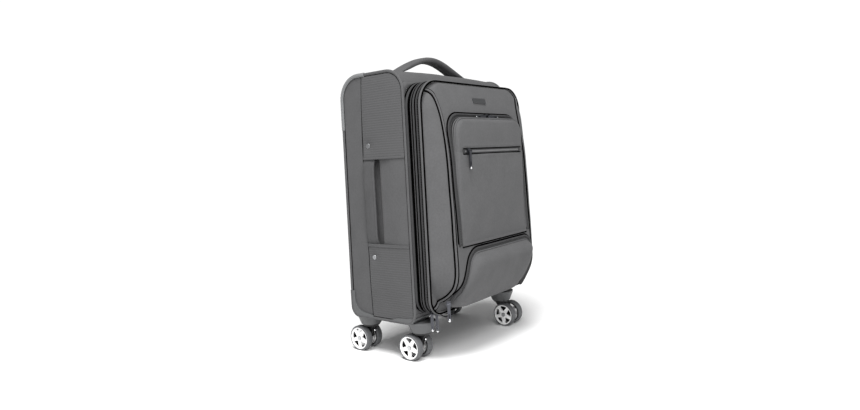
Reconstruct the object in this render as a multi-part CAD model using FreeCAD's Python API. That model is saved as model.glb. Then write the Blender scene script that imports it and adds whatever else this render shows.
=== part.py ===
"""Softside upright suitcase with twin-wheel spinner casters, as separate sub-parts.

Frame: millimetres, +Z up, origin on the floor at the centre of the overall box. The lid and its
pockets face -Y, the trolley handle stands at the back, and the carry strap is on the -X side.
"Depth" is the distance in front of the back face of the case, so a larger depth is further to -Y.
"""
import FreeCAD, Part
import math
import os

Vector = FreeCAD.Vector

# ---------------------------------------------------------------- driving dimensions (mm)
CASE_WIDTH = 340.0            # over the two side panels
SIDE_BOTTOM = 75.0            # underside of the case above the floor
SIDE_TOP = 540.0              # top of the case
CASE_DEPTH = 160.0            # back face to the front edge of the side panels
PANEL = 3.0                   # foam-backed fabric panel thickness
REAR_TOP_RADIUS = 38.0        # corners of the side panel, seen from the side
FRONT_TOP_RADIUS = 30.0
BOTTOM_RADIUS = 18.0

MOUTH_BOTTOM = 94.0           # outline of the lid and of the zipped mouth, seen from the front
MOUTH_TOP = 516.0
MOUTH_RADIUS = 30.0
EXPANDER_DEPTH = 10.0         # folded expansion gusset
COIL_DEPTH = 4.5              # the expansion zipper's coil, sunk between its tapes
COIL_SINK = 3.0
TAPE_DEPTH = 15.0             # case-side tape of the main zipper
TAPE_SINK = 1.5               # the tapes lie this far inside the outline
TAPE_WALL = 3.0
ZIP_GAP = 0.5                 # between the two halves of the main zipper
LID_TAPE_DEPTH = 4.0

PIPING_RADIUS = 3.0
LID_PIPING_RADIUS = 3.0
PIPING_STAND = 0.5            # the cord's centre outside the panel's face
GUARD_RADIUS = 5.0            # ribbed binding over the rear top corners
GUARD_RUN = 32.0              # how far it runs on past the corner, along the top
GUARD_DROP = 62.0             # and down the back

LID_SHOULDER_Z = 420.0        # where the lid's sloping top turns into its front
LID_SHOULDER_RISE = 32.0      # how far that line stands in front of the lid's back edge
LID_BELLY_Z = 150.0           # the deepest line of the lid
LID_BELLY_RISE = 46.0
LID_HEM_RISE = 26.0           # lowest edge of the lid's front
LID_CREST_RISE = 6.0          # highest edge of the lid's front
LID_CREST_RADIUS = 5.0
LID_SHOULDER_RADIUS = 140.0
LID_BELLY_RADIUS = 60.0
LID_HEM_RADIUS = 14.0
LID_SIDE_INSET = 33.0         # how far the bevelled sides lean in
LID_SIDE_FOOT = 4.0           # the bevel starts this far in front of the lid's back edge
LID_SIDE_RISE = 44.0          # and ends this far in front of it
LID_SIDE_RADIUS = 40.0        # of the crease between a bevel and the front
LID_FOOT_RADIUS = 8.0         # of the bevel's foot

UPPER_HALF_WIDTH = 116.0      # upper pocket
UPPER_BOTTOM = 213.0
UPPER_TOP = 447.0
UPPER_RADIUS = 28.0
UPPER_FOOT_RADIUS = 4.0       # its two lower corners
UPPER_RISE = 45.0             # its face, in front of the lid's back edge
LOWER_HALF_WIDTH = 122.0      # lower pocket
LOWER_BOTTOM = 104.0
LOWER_TOP = 198.0
LOWER_RISE = 58.0
LOWER_FLARE = 24.0            # its left edge steps out this far towards the hem
LOWER_FLARE_Z = 146.0         # height where the step begins
POCKET_FACE_RADIUS = 6.0
ZIP_BAND = 10.0               # width of a pocket's zipper tape
ZIP_BAND_THICK = 2.4
ZIP_BAND_GAP = 0.6

WELT_BELOW_TOP = 60.0         # straight zipper across the upper pocket, below the pocket's top
WELT_HALF_LENGTH = 102.0
WELT_HEIGHT = 12.0
WELT_SINK = 2.0
WELT_TAPE = 1.2
WELT_COIL = 4.0               # width of its row of teeth
WELT_COIL_INSET = 6.0         # the teeth stop this far short of the window's ends
WELT_SEAT_INSET = 12.0        # the slider rests this far from the window's left end

HINGE_THICK = 1.6             # doubled fabric on the right side that the lid swings on
HINGE_GAP = 0.2

BADGE_LENGTH = 44.0
BADGE_HEIGHT = 10.0
BADGE_THICK = 1.6
BADGE_Z = 484.0

SLIDER_LENGTH = 10.0          # every zipper slider
SLIDER_WIDTH = 8.0
SLIDER_THICK = 3.2
SLIDER_GAP = 0.3              # between a slider's back and the teeth
LUG_THICK = 1.6               # the two lugs that hold the pull's pin
LUG_HEIGHT = 3.4
LUG_GAP = 0.2
PIN_RADIUS = 0.8              # the pull's hinge pin
PIN_RISE = 1.9                # its centre above the slider
PIN_CLEARANCE = 0.08
PULL_LENGTH = 31.0
PULL_WIDTH = 5.4
PULL_THICK = 2.2
PULL_HOLE_LENGTH = 7.0        # slot near the pull's tip
PULL_HOLE_WIDTH = 2.2
PULL_TIP = 6.0                # solid end below the slot
MAIN_SLIDER_ANGLES = (58.0, 84.0)   # round the mouth's lower left corner, from level

STRAP_WIDTH = 28.0            # carry strap on the left side
STRAP_DEPTH = 68.0            # its centre line behind the front
STRAP_THICK = 3.0
STRAP_RISE = 2.0
STRAP_RECESS = 13.0           # recess in the side panel for the fingers
RECESS_NEAR = 50.0
RECESS_FAR = 150.0
HEM_UPPER = 381.0             # edges of the two side patches
HEM_LOWER = 221.0
HEM_COVER = 40.0              # how far the recess and the strap run under a patch
PATCH = 1.2
PATCH_NEAR = 53.0
RIVET_INSET = 26.0            # from a patch's hem to its rivet
RIVET_HEAD_RADIUS = 4.8
RIVET_SHANK_RADIUS = 2.0
RIVET_HEAD = 1.4

HANDLE_REACH = 116.0          # top carry handle: half its length over the sewn ends
HANDLE_RISE = 44.0
HANDLE_WIDTH = 30.0
HANDLE_THICK = 12.0
HANDLE_DEPTH = 88.0
HANDLE_END = 3.0              # thickness of the flat ends
HANDLE_GRIP_REACH = 72.0      # half the width of the gap under it

TROLLEY_DEPTH = 36.0          # centre line of the trolley tubes behind the back face
TUBE_SPACING = 130.0
TUBE_X = 21.0                 # outer tube section
TUBE_Y = 15.0
TUBE_WALL = 1.0
TUBE_CLEARANCE = 0.5          # between telescoping tubes, each side
TUBE_STAGE_STEP = 14.0        # each stage's foot stands this much higher than the one round it
FOOT_HEIGHT = 12.0
FOOT_SOCKET = 7.0
BEZEL_LENGTH = 196.0
BEZEL_WIDTH = 50.0
BEZEL_WALL = 2.5
BEZEL_FLOOR = 3.0
BEZEL_LIP = 3.0               # stands this proud of the top panel
BEZEL_FIT = 0.3               # gap of the bezel in the top panel
GRIP_LENGTH = 172.0
GRIP_WIDTH = 25.0
GRIP_HEIGHT = 17.0
GRIP_SEAT = 0.5               # clearance under the grip at rest
BUTTON_LENGTH = 34.0
BUTTON_WIDTH = 12.0
BUTTON_FIT = 0.4
BUTTON_TRAVEL = 3.0
BUTTON_WELL = 9.0             # depth of its well in the grip
BUTTON_END_GAP = 1.0          # left under it when it is pressed
BUTTON_PROUD = 1.2

WHEEL_RADIUS = 25.0
WHEEL_WIDTH = 14.0
WHEEL_FACE = 21.5             # from the swivel axis to a wheel's outer face
WHEEL_TRAIL = 16.5            # from the swivel axis to the axle
TYRE = 3.4
TYRE_ROUND = 2.5
RIM_SPOKES = 5
RIM_RING = 2.2
RIM_WEB = 3.0
HUB_RADIUS = 6.5
SPOKE_WIDTH = 6.0
SPOKE_FILLET = 1.2
AXLE_RADIUS = 3.0
AXLE_CLEARANCE = 0.05
AXLE_CAP_RADIUS = 4.4         # flange that keeps a wheel on
AXLE_CAP_THICK = 1.4
AXLE_CAP_SEAT = 2.0           # its inner face, in from the wheel's outer face
AXLE_CAP_FIT = 0.5
CASTER_INSET_X = 28.0         # swivel axis from the side panel
CASTER_INSET_REAR = 20.0      # swivel axis from the back face
CASTER_FRONT_DEPTH = 151.0
FORK_SIDE_GAP = 0.7
FORK_TOP = 54.2
FORK_PLATE = 3.4
FORK_PLATE_RADIUS = 17.0
FORK_BOSS_RADIUS = 9.0
KINGPIN_RADIUS = 4.0
KINGPIN_LENGTH = 14.0
KINGPIN_CLEARANCE = 0.05
HOUSING_GAP = 0.5             # above the fork plate
HOUSING_NECK_RADIUS = 20.0
HOUSING_FOOT = 27.0           # half the housing's width under the case
GUARD_WALL = 2.5              # plastic corner guard over the panels
REAR_GUARD_HEIGHT = 125.0
REAR_GUARD_REACH = 56.0
REAR_GUARD_STRIP = 9.0        # width of its upright part, seen from the side
FRONT_GUARD_REACH = 62.0
GUARD_REACH_IN = 44.0         # how far the guards run in from the side panels
GUARD_SEAT = 0.3              # the back panel is let in this far under the rear guards
GUARD_SEAT_GAP = 0.5          # round their edges

# ---------------------------------------------------------------- worked-out places
HALF = CASE_WIDTH / 2
WELT_Z = UPPER_TOP - WELT_BELOW_TOP
COIL_FRONT = CASE_DEPTH + EXPANDER_DEPTH + COIL_DEPTH
CASE_TAPE_FRONT = COIL_FRONT + TAPE_DEPTH
LID_TAPE_BACK = CASE_TAPE_FRONT + ZIP_GAP
LID_BACK = LID_TAPE_BACK + LID_TAPE_DEPTH
REAR_OVERHANG = WHEEL_TRAIL + WHEEL_RADIUS - CASTER_INSET_REAR
BACK_Y = (LID_BACK + LOWER_RISE - REAR_OVERHANG) / 2
LID_FACE_LIMIT = LID_BACK + LOWER_RISE + LID_SIDE_RISE      # beyond everything on the lid


def y_at(depth):
    """The row's Y of a depth in front of the back face."""
    return BACK_Y - depth


# ---------------------------------------------------------------- drawing helpers
def rounded_wire(points, radii, place):
    """A closed wire through points, with a tangent arc at each corner that has a radius."""
    corners = []
    count = len(points)
    for i, point in enumerate(points):
        here = Vector(point[0], point[1], 0)
        back = Vector(*points[i - 1], 0) - here
        ahead = Vector(*points[(i + 1) % count], 0) - here
        back.normalize()
        ahead.normalize()
        radius = radii[i]
        if radius == 0:
            corners.append((here, None, here))
            continue
        half_angle = back.getAngle(ahead) / 2
        bisector = back + ahead
        bisector.normalize()
        tangent = radius / math.tan(half_angle)
        middle = here + bisector * (radius / math.sin(half_angle) - radius)
        corners.append((here + back * tangent, middle, here + ahead * tangent))
    edges = []
    for i, (start, middle, end) in enumerate(corners):
        if middle is not None:
            edges.append(Part.Arc(place(start), place(middle), place(end)).toShape())
        following = corners[(i + 1) % count][0]
        if (following - end).Length > 1e-6:
            edges.append(Part.LineSegment(place(end), place(following)).toShape())
    return Part.Wire(edges)


def side_prism(points, radii, x_from, x_to):
    """Extrudes a (depth, z) outline along X."""
    wire = rounded_wire(points, radii, lambda p: Vector(x_from, y_at(p.x), p.y))
    return Part.Face(wire).extrude(Vector(x_to - x_from, 0, 0))


def front_prism(points, radii, depth_from, depth_to):
    """Extrudes an (x, z) outline from one depth to another."""
    wire = rounded_wire(points, radii, lambda p: Vector(p.x, y_at(depth_from), p.y))
    return Part.Face(wire).extrude(Vector(0, depth_from - depth_to, 0))


def plan_prism(points, radii, z_from, z_to):
    """Extrudes an (x, depth) outline along Z."""
    wire = rounded_wire(points, radii, lambda p: Vector(p.x, y_at(p.y), z_from))
    return Part.Face(wire).extrude(Vector(0, 0, z_to - z_from))


def block(x_from, x_to, depth_from, depth_to, z_from, z_to):
    """A box between two depths."""
    corner = Vector(x_from, y_at(depth_to), z_from)
    return Part.makeBox(x_to - x_from, depth_to - depth_from, z_to - z_from, corner)


def mirrored(shape):
    """The shape's twin on the other side of the suitcase."""
    return shape.mirror(Vector(0, 0, 0), Vector(1, 0, 0))


def group(solids):
    """Separate solids that share one node."""
    return Part.makeCompound(solids)


def save(node, shape):
    """Writes one sub-part, after checking that it is whole."""
    solids = shape.Solids
    if not solids or not all(s.isValid() for s in solids):
        raise ValueError(node + " is not a valid solid")
    whole = solids[0] if len(solids) == 1 else group(solids)
    whole.exportStep("parts/" + node + ".step")
    print(node, len(solids), "solids", round(sum(s.Volume for s in solids) / 1000, 2), "cm3")


# ---------------------------------------------------------------- the case
def side_outline(inset):
    """The case seen from the side, as (depth, z) corners and their radii."""
    points = [
        (inset, SIDE_BOTTOM + inset),
        (CASE_DEPTH - inset, SIDE_BOTTOM + inset),
        (CASE_DEPTH - inset, SIDE_TOP - inset),
        (inset, SIDE_TOP - inset),
    ]
    corner = [BOTTOM_RADIUS, BOTTOM_RADIUS, FRONT_TOP_RADIUS, REAR_TOP_RADIUS]
    return points, [r - inset for r in corner]


def case_block():
    """The whole outer form of the case, filled."""
    return side_prism(*side_outline(0), -HALF, HALF)


def mouth_outline(inset):
    """The zipped mouth seen from the front, as (x, z) corners and their radii."""
    x = HALF - inset
    bottom = MOUTH_BOTTOM + inset
    top = MOUTH_TOP - inset
    return [(-x, bottom), (x, bottom), (x, top), (-x, top)], [MOUTH_RADIUS - inset] * 4


def mouth_ring(depth_from, depth_to, inset=0.0, wall=PANEL):
    """A band of the mouth's outline between two depths."""
    outer = front_prism(*mouth_outline(inset), depth_from, depth_to)
    return outer.cut(front_prism(*mouth_outline(inset + wall), depth_from, depth_to))


def wrap():
    """Top, back and bottom panels in one: the case between its side panels, open at the mouth."""
    inner_x = HALF - PANEL
    shell = side_prism(*side_outline(0), -inner_x, inner_x)
    shell = shell.cut(side_prism(*side_outline(PANEL), -inner_x, inner_x))
    mouth = front_prism(*mouth_outline(PANEL), CASE_DEPTH / 2, CASE_DEPTH + PANEL)
    return shell.cut(mouth)


def bezel_box(gap=0.0):
    """The outer form of the trolley bezel."""
    x = BEZEL_LENGTH / 2 + gap
    near = TROLLEY_DEPTH - BEZEL_WIDTH / 2 - gap
    far = TROLLEY_DEPTH + BEZEL_WIDTH / 2 + gap
    corners = [(-x, near), (x, near), (x, far), (-x, far)]
    return plan_prism(corners, [8.0 + gap] * 4, bezel_floor_z() - gap, SIDE_TOP + BEZEL_LIP)


def bezel_floor_z():
    """Underside of the bezel's tray."""
    return SIDE_TOP + BEZEL_LIP - GRIP_HEIGHT - GRIP_SEAT - BEZEL_FLOOR


def back_panel():
    """Board-stiffened back between the rounded corners, let in where the guards lie on it."""
    between = block(-HALF, HALF, -1, PANEL, SIDE_BOTTOM + BOTTOM_RADIUS, SIDE_TOP - REAR_TOP_RADIUS)
    panel = wrap().common(between)
    foot_reach = HALF - GUARD_REACH_IN - GUARD_SEAT_GAP
    foot_top = REAR_GUARD_HEIGHT + GUARD_SEAT_GAP
    binding_reach = HALF - GUARD_RADIUS - GUARD_SEAT_GAP
    binding_low = SIDE_TOP - REAR_TOP_RADIUS - GUARD_DROP - GUARD_SEAT_GAP
    for sign in (-1, 1):
        for reach, low, high in ((foot_reach, 0, foot_top), (binding_reach, binding_low, SIDE_TOP)):
            left, right = sorted((sign * reach, sign * HALF))
            panel = panel.cut(block(left, right, -1, GUARD_SEAT, low, high))
    return panel


def top_panel():
    """Top of the case, rolled down at the back and at the front, with a hole for the bezel."""
    upper = block(-HALF, HALF, -1, CASE_DEPTH + 1, SIDE_TOP - REAR_TOP_RADIUS, SIDE_TOP + 1)
    return wrap().common(upper).cut(bezel_box(BEZEL_FIT))


def base_board():
    """Bottom of the case, rolled up at the back and at the front."""
    lower = block(-HALF, HALF, -1, CASE_DEPTH + 1, SIDE_BOTTOM - 1, SIDE_BOTTOM + BOTTOM_RADIUS)
    return wrap().common(lower)


def side_panel_right():
    return side_prism(*side_outline(0), HALF - PANEL, HALF)


def recess_form(inset):
    """The finger recess in the left side panel, filled: larger by the panel when inset is negative."""
    near = RECESS_NEAR + inset
    far = RECESS_FAR - inset
    bottom = HEM_LOWER - HEM_COVER + inset
    top = HEM_UPPER + HEM_COVER - inset
    corners = [(near, bottom), (far, bottom), (far, top), (near, top)]
    return corners, [10.0 - inset] * 4


def side_panel_left():
    """Side panel with the recess that the carry strap spans."""
    plate = side_prism(*side_outline(0), -HALF, -HALF + PANEL)
    tray = side_prism(*recess_form(-PANEL), -HALF, -HALF + STRAP_RECESS + PANEL)
    hollow = side_prism(*recess_form(0), -HALF, -HALF + STRAP_RECESS)
    return plate.fuse(tray).cut(hollow).removeSplitter()


def side_patches():
    """Ribbed patches sewn over the upper and lower ends of the carry strap."""
    far = CASE_DEPTH - PIPING_RADIUS - 1
    upper = block(-HALF - PATCH, -HALF, PATCH_NEAR, far, HEM_UPPER, SIDE_TOP - PIPING_RADIUS - 1)
    lower = block(-HALF - PATCH, -HALF, PATCH_NEAR, far, SIDE_BOTTOM + PIPING_RADIUS + 1, HEM_LOWER)
    inner = side_prism(*side_outline(PIPING_RADIUS + 1), -HALF - PATCH, -HALF)
    patches = [upper.common(inner), lower.common(inner)]
    holes = group([rivet_shank(z) for z in rivet_heights()])
    trims = [holes, front_guard(-1), rear_guard(-1), rear_corner_guard(-1)]
    for trim in trims:
        patches = [patch.cut(trim) for patch in patches]
    return patches


def strap_line(depth_shift):
    """Centre line of the carry strap, as (x, z) points with a flat run under each patch."""
    x_end = -HALF + STRAP_THICK / 2 + depth_shift
    x_mid = x_end - STRAP_RISE
    low = HEM_LOWER - HEM_COVER + 4
    high = HEM_UPPER + HEM_COVER - 4
    return x_end, x_mid, low, high


def side_carry_strap():
    """Flat padded strap: its ends lie under the patches, and its middle stands a little proud."""
    x_end, x_mid, low, high = strap_line(0.1)
    half = STRAP_THICK / 2
    outer = [(x_end - half, low), (x_end - half, HEM_LOWER), (x_mid - half, HEM_LOWER + 18)]
    outer += [(x_mid - half, HEM_UPPER - 18), (x_end - half, HEM_UPPER), (x_end - half, high)]
    inner = [(x + STRAP_THICK, z) for x, z in reversed(outer)]
    outline = outer + inner
    near = STRAP_DEPTH - STRAP_WIDTH / 2
    strap = front_prism(outline, [0] * len(outline), near, near + STRAP_WIDTH)
    return strap.cut(group([rivet_shank(z) for z in rivet_heights()]))


def rivet_heights():
    return [HEM_LOWER - RIVET_INSET, HEM_UPPER + RIVET_INSET]


def rivet_shank(z):
    centre = Vector(-HALF - PATCH, y_at(STRAP_DEPTH), z)
    return Part.makeCylinder(RIVET_SHANK_RADIUS, PATCH + STRAP_THICK + 0.1, centre, Vector(1, 0, 0))


def side_strap_rivets():
    """One domed rivet through each patch and strap end, with a washer behind the strap."""
    rivets = []
    for z in rivet_heights():
        face = Vector(-HALF - PATCH, y_at(STRAP_DEPTH), z)
        head = Part.makeCylinder(RIVET_HEAD_RADIUS, RIVET_HEAD, face, Vector(-1, 0, 0))
        head = head.makeFillet(RIVET_HEAD * 0.6, [e for e in head.Edges if e.BoundBox.XMax < face.x - 1])
        behind = Vector(-HALF + 0.1 + STRAP_THICK, face.y, z)
        washer = Part.makeCylinder(RIVET_HEAD_RADIUS, RIVET_HEAD / 2, behind, Vector(1, 0, 0))
        rivets.append(head.fuse(rivet_shank(z)).fuse(washer).removeSplitter())
    return rivets


def loop_pipe(points, radii, place, radius):
    """A round cord that follows a closed outline."""
    path = rounded_wire(points, radii, place)
    first = path.Edges[0]
    start = first.valueAt(first.FirstParameter)
    circle = Part.Circle(start, first.tangentAt(first.FirstParameter), radius)
    profile = Part.Wire([circle.toShape()])
    return path.makePipeShell([profile], True, True)


def side_loop(sign, radius):
    """Cord round the edge of one side panel."""
    x = sign * (HALF + PIPING_STAND)
    return loop_pipe(*side_outline(0.0), lambda p: Vector(x, y_at(p.x), p.y), radius)


def side_piping(sign, hard_trim):
    """Piping in the seam round a side panel, broken where plastic guards cover the corner."""
    cord = side_loop(sign, PIPING_RADIUS).cut(case_block()).cut(hard_trim)
    return cord.cut(mouth_ring(CASE_DEPTH, COIL_FRONT, 0, HALF / 2))


def rear_corner_guard(sign):
    """Thick ribbed binding over one rear top corner."""
    run = REAR_TOP_RADIUS + GUARD_RUN
    drop = SIDE_TOP - REAR_TOP_RADIUS - GUARD_DROP
    over = 2 * GUARD_RADIUS
    window = block(-CASE_WIDTH, CASE_WIDTH, -over, run, drop, SIDE_TOP + over)
    binding = side_loop(sign, GUARD_RADIUS).common(window)
    return binding.cut(case_block())


def expander_gusset():
    return mouth_ring(CASE_DEPTH, CASE_DEPTH + EXPANDER_DEPTH)


def expansion_zipper():
    start = CASE_DEPTH + EXPANDER_DEPTH
    return mouth_ring(start, COIL_FRONT, COIL_SINK)


def main_zipper_case_side():
    return mouth_ring(COIL_FRONT, CASE_TAPE_FRONT, TAPE_SINK, TAPE_WALL)


def top_handle():
    """Padded carry handle: a bow over two flat ends that are sewn down on the top panel."""
    y = y_at(HANDLE_DEPTH + HANDLE_WIDTH / 2)
    base = SIDE_TOP
    shoulder = base + HANDLE_END
    top = base + HANDLE_RISE
    left, right = Vector(-HANDLE_REACH, y, shoulder), Vector(HANDLE_REACH, y, shoulder)
    gap_left, gap_right = Vector(-HANDLE_GRIP_REACH, y, base), Vector(HANDLE_GRIP_REACH, y, base)
    edges = [
        Part.Arc(left, Vector(0, y, top), right).toShape(),
        Part.LineSegment(right, Vector(HANDLE_REACH, y, base)).toShape(),
        Part.LineSegment(Vector(HANDLE_REACH, y, base), gap_right).toShape(),
        Part.Arc(gap_right, Vector(0, y, top - HANDLE_THICK), gap_left).toShape(),
        Part.LineSegment(gap_left, Vector(-HANDLE_REACH, y, base)).toShape(),
        Part.LineSegment(Vector(-HANDLE_REACH, y, base), left).toShape(),
    ]
    return Part.Face(Part.Wire(edges)).extrude(Vector(0, HANDLE_WIDTH, 0))


# ---------------------------------------------------------------- trolley handle
def tube(stage, z_from, z_to):
    """Two rectangular tubes of one telescoping stage: stage 0 is the outer, fixed one."""
    step = stage * (TUBE_WALL + TUBE_CLEARANCE)
    tubes = []
    for side in (-1, 1):
        x = side * TUBE_SPACING / 2
        outer = tube_form(x, step, z_from, z_to)
        tubes.append(outer.cut(tube_form(x, step + TUBE_WALL, z_from - 1, z_to + 1)))
    return tubes


def tube_form(x, inset, z_from, z_to):
    """A filled tube section about one trolley leg, smaller by inset on every side."""
    half_x = TUBE_X / 2 - inset
    near = TROLLEY_DEPTH - TUBE_Y / 2 + inset
    far = TROLLEY_DEPTH + TUBE_Y / 2 - inset
    corners = [(x - half_x, near), (x + half_x, near), (x + half_x, far), (x - half_x, far)]
    return plan_prism(corners, [max(4.5 - inset, 1.0)] * 4, z_from, z_to)


def foot_z():
    return SIDE_BOTTOM + PANEL


def trolley_foot():
    """Bar on the base board that holds the lower ends of the outer tubes."""
    x = TUBE_SPACING / 2 + TUBE_X
    near = TROLLEY_DEPTH - TUBE_Y
    far = TROLLEY_DEPTH + TUBE_Y
    corners = [(-x, near), (x, near), (x, far), (-x, far)]
    top = foot_z() + FOOT_HEIGHT
    bar = plan_prism(corners, [6.0] * 4, foot_z(), top)
    for side in (-1, 1):
        bar = bar.cut(tube_form(side * TUBE_SPACING / 2, 0, top - FOOT_SOCKET, top + 1))
    return bar


def trolley_outer_tubes():
    return tube(0, foot_z() + FOOT_HEIGHT - FOOT_SOCKET, bezel_floor_z())


def stage_foot(stage):
    return foot_z() + FOOT_HEIGHT + stage * TUBE_STAGE_STEP


def grip_floor_z():
    return bezel_floor_z() + BEZEL_FLOOR + GRIP_SEAT


def trolley_middle_tubes():
    return tube(1, stage_foot(1), bezel_floor_z())


def trolley_inner_tubes():
    return tube(2, stage_foot(2), grip_floor_z() + GRIP_HEIGHT / 2)


def trolley_bezel():
    """Tray in the top panel that the grip drops into, with a way through for the tubes."""
    tray = bezel_box()
    x = BEZEL_LENGTH / 2 - BEZEL_WALL
    near = TROLLEY_DEPTH - BEZEL_WIDTH / 2 + BEZEL_WALL
    far = TROLLEY_DEPTH + BEZEL_WIDTH / 2 - BEZEL_WALL
    corners = [(-x, near), (x, near), (x, far), (-x, far)]
    floor = bezel_floor_z() + BEZEL_FLOOR
    tray = tray.cut(plan_prism(corners, [5.5] * 4, floor, SIDE_TOP + BEZEL_LIP + 1))
    for side in (-1, 1):
        through = tube_form(side * TUBE_SPACING / 2, TUBE_WALL, bezel_floor_z() - 1, floor + 1)
        tray = tray.cut(through)
    return tray


def button_form(gap, z_from, z_to):
    """The release button's outline, larger by gap."""
    x = BUTTON_LENGTH / 2 + gap
    near = TROLLEY_DEPTH - BUTTON_WIDTH / 2 - gap
    far = TROLLEY_DEPTH + BUTTON_WIDTH / 2 + gap
    corners = [(-x, near), (x, near), (x, far), (-x, far)]
    return plan_prism(corners, [BUTTON_WIDTH / 2 + gap - 0.01] * 4, z_from, z_to)


def button_floor_z():
    """Bottom of the button's well in the grip."""
    return grip_floor_z() + GRIP_HEIGHT - BUTTON_WELL


def trolley_grip():
    """Moulded grip with sockets for the inner tubes and a well for the button."""
    x = GRIP_LENGTH / 2
    near = TROLLEY_DEPTH - GRIP_WIDTH / 2
    far = TROLLEY_DEPTH + GRIP_WIDTH / 2
    corners = [(-x, near), (x, near), (x, far), (-x, far)]
    top = grip_floor_z() + GRIP_HEIGHT
    grip = plan_prism(corners, [10.0] * 4, grip_floor_z(), top)
    rims = [e for e in grip.Edges if abs(e.BoundBox.ZMax - e.BoundBox.ZMin) < 1e-6]
    grip = grip.makeFillet(4.0, rims)
    inset = 2 * (TUBE_WALL + TUBE_CLEARANCE)
    for side in (-1, 1):
        leg = tube_form(side * TUBE_SPACING / 2, inset, grip_floor_z() - 1, top - GRIP_HEIGHT / 2)
        grip = grip.cut(leg)
    return grip.cut(button_form(BUTTON_FIT, button_floor_z(), top + 1))


def trolley_button():
    top = grip_floor_z() + GRIP_HEIGHT + BUTTON_PROUD
    button = button_form(0, button_floor_z() + BUTTON_TRAVEL + BUTTON_END_GAP, top)
    return button.makeFillet(0.8, [e for e in button.Edges if e.BoundBox.ZMin > top - 0.01])


# ---------------------------------------------------------------- the lid
def lid_profile(back, front, trim):
    """The lid from the side, as (depth, z) corners and radii: front moves its face, trim its ends."""
    points = [
        (back, MOUTH_BOTTOM + trim),
        (LID_BACK + LID_HEM_RISE + front, MOUTH_BOTTOM + trim),
        (LID_BACK + LID_BELLY_RISE + front, LID_BELLY_Z),
        (LID_BACK + LID_SHOULDER_RISE + front, LID_SHOULDER_Z),
        (LID_BACK + LID_CREST_RISE + front, MOUTH_TOP - trim),
        (back, MOUTH_TOP - trim),
    ]
    radii = [0, LID_HEM_RADIUS, LID_BELLY_RADIUS, LID_SHOULDER_RADIUS, LID_CREST_RADIUS, 0]
    return points, radii


def lid_form(back=LID_BACK, front=0.0, trim=0.0):
    """The lid's outer form, filled: its side profile, its plan and its front outline in common."""
    side = side_prism(*lid_profile(back, front, trim), -HALF + trim, HALF - trim)
    x_out = HALF - trim
    x_in = x_out - LID_SIDE_INSET
    foot = LID_BACK + LID_SIDE_FOOT + front
    crease = LID_BACK + LID_SIDE_RISE + front
    half_plan = [(x_out, back), (x_out, foot), (x_in, crease), (x_in, LID_FACE_LIMIT)]
    plan = half_plan + [(-x, depth) for x, depth in reversed(half_plan)]
    half_radii = [0, LID_FOOT_RADIUS, LID_SIDE_RADIUS, 0]
    bevelled = plan_prism(plan, half_radii + half_radii[::-1], MOUTH_BOTTOM, MOUTH_TOP)
    outline = front_prism(*mouth_outline(trim), back, LID_FACE_LIMIT)
    return side.common(bevelled).common(outline)


def lid_shell():
    """The padded lid: front and bevelled sides, open at the back."""
    return lid_form().cut(lid_form(LID_BACK - 1, -PANEL, PANEL))


def lid_piping():
    """Piping round the lid's back edge."""
    depth = LID_BACK + LID_PIPING_RADIUS
    cord = loop_pipe(*mouth_outline(0), lambda p: Vector(p.x, y_at(depth), p.y), LID_PIPING_RADIUS)
    return cord.cut(lid_form())


def main_zipper_lid_side():
    return mouth_ring(LID_TAPE_BACK, LID_BACK, TAPE_SINK, TAPE_WALL)


def upper_outline(grow):
    """The upper pocket from the front; its zipper runs round the sides and the top."""
    x = UPPER_HALF_WIDTH + grow
    top = UPPER_TOP + grow
    points = [(-x, UPPER_BOTTOM), (x, UPPER_BOTTOM), (x, top), (-x, top)]
    return points, [UPPER_FOOT_RADIUS] * 2 + [UPPER_RADIUS + grow] * 2


def lower_outline(grow):
    """The lower pocket from the front: its zipper climbs from the left hem and crosses its top."""
    left = -LOWER_HALF_WIDTH - grow
    right = LOWER_HALF_WIDTH + grow
    top = LOWER_TOP + grow
    low = LOWER_BOTTOM
    points = [
        (left - LOWER_FLARE, low),
        (right - LOWER_FLARE / 3, low),
        (right, low + LOWER_FLARE),
        (right, top),
        (left + LOWER_FLARE, top),
        (left, LOWER_FLARE_Z),
    ]
    return points, [14.0, 14.0, 22.0, 14.0 + grow, 30.0 + grow, 26.0]


def pocket(outline, rise, face_radius):
    """A padded pocket that stands on the lid's front, with its face's edge rounded."""
    face_depth = LID_BACK + rise
    body = front_prism(*outline(0), LID_BACK, face_depth)
    y_face = y_at(face_depth)
    edge = [e for e in body.Edges if abs(e.BoundBox.YMax - y_face) < 1e-3]
    body = body.makeFillet(face_radius, edge)
    return body.cut(lid_form())


def welt_cut(grow):
    """The straight zipper's window in the upper pocket."""
    x = WELT_HALF_LENGTH + grow
    half = WELT_HEIGHT / 2 + grow
    return [(-x, WELT_Z - half), (x, WELT_Z - half), (x, WELT_Z + half), (-x, WELT_Z + half)], [3.0] * 4


def upper_pocket():
    body = pocket(upper_outline, UPPER_RISE, POCKET_FACE_RADIUS)
    face = LID_BACK + UPPER_RISE
    return body.cut(front_prism(*welt_cut(0), face - WELT_SINK, face + 1))


def welt_zipper():
    """Tape and coil of the straight zipper, sunk in its window."""
    face = LID_BACK + UPPER_RISE
    floor = face - WELT_SINK
    tape = front_prism(*welt_cut(0), floor, floor + WELT_TAPE)
    reach = WELT_HALF_LENGTH - WELT_COIL_INSET
    half = WELT_COIL / 2
    coil = block(-reach, reach, floor + WELT_TAPE, face, WELT_Z - half, WELT_Z + half)
    return tape.fuse(coil).removeSplitter()


def lower_pocket():
    return pocket(lower_outline, LOWER_RISE, POCKET_FACE_RADIUS)


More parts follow.
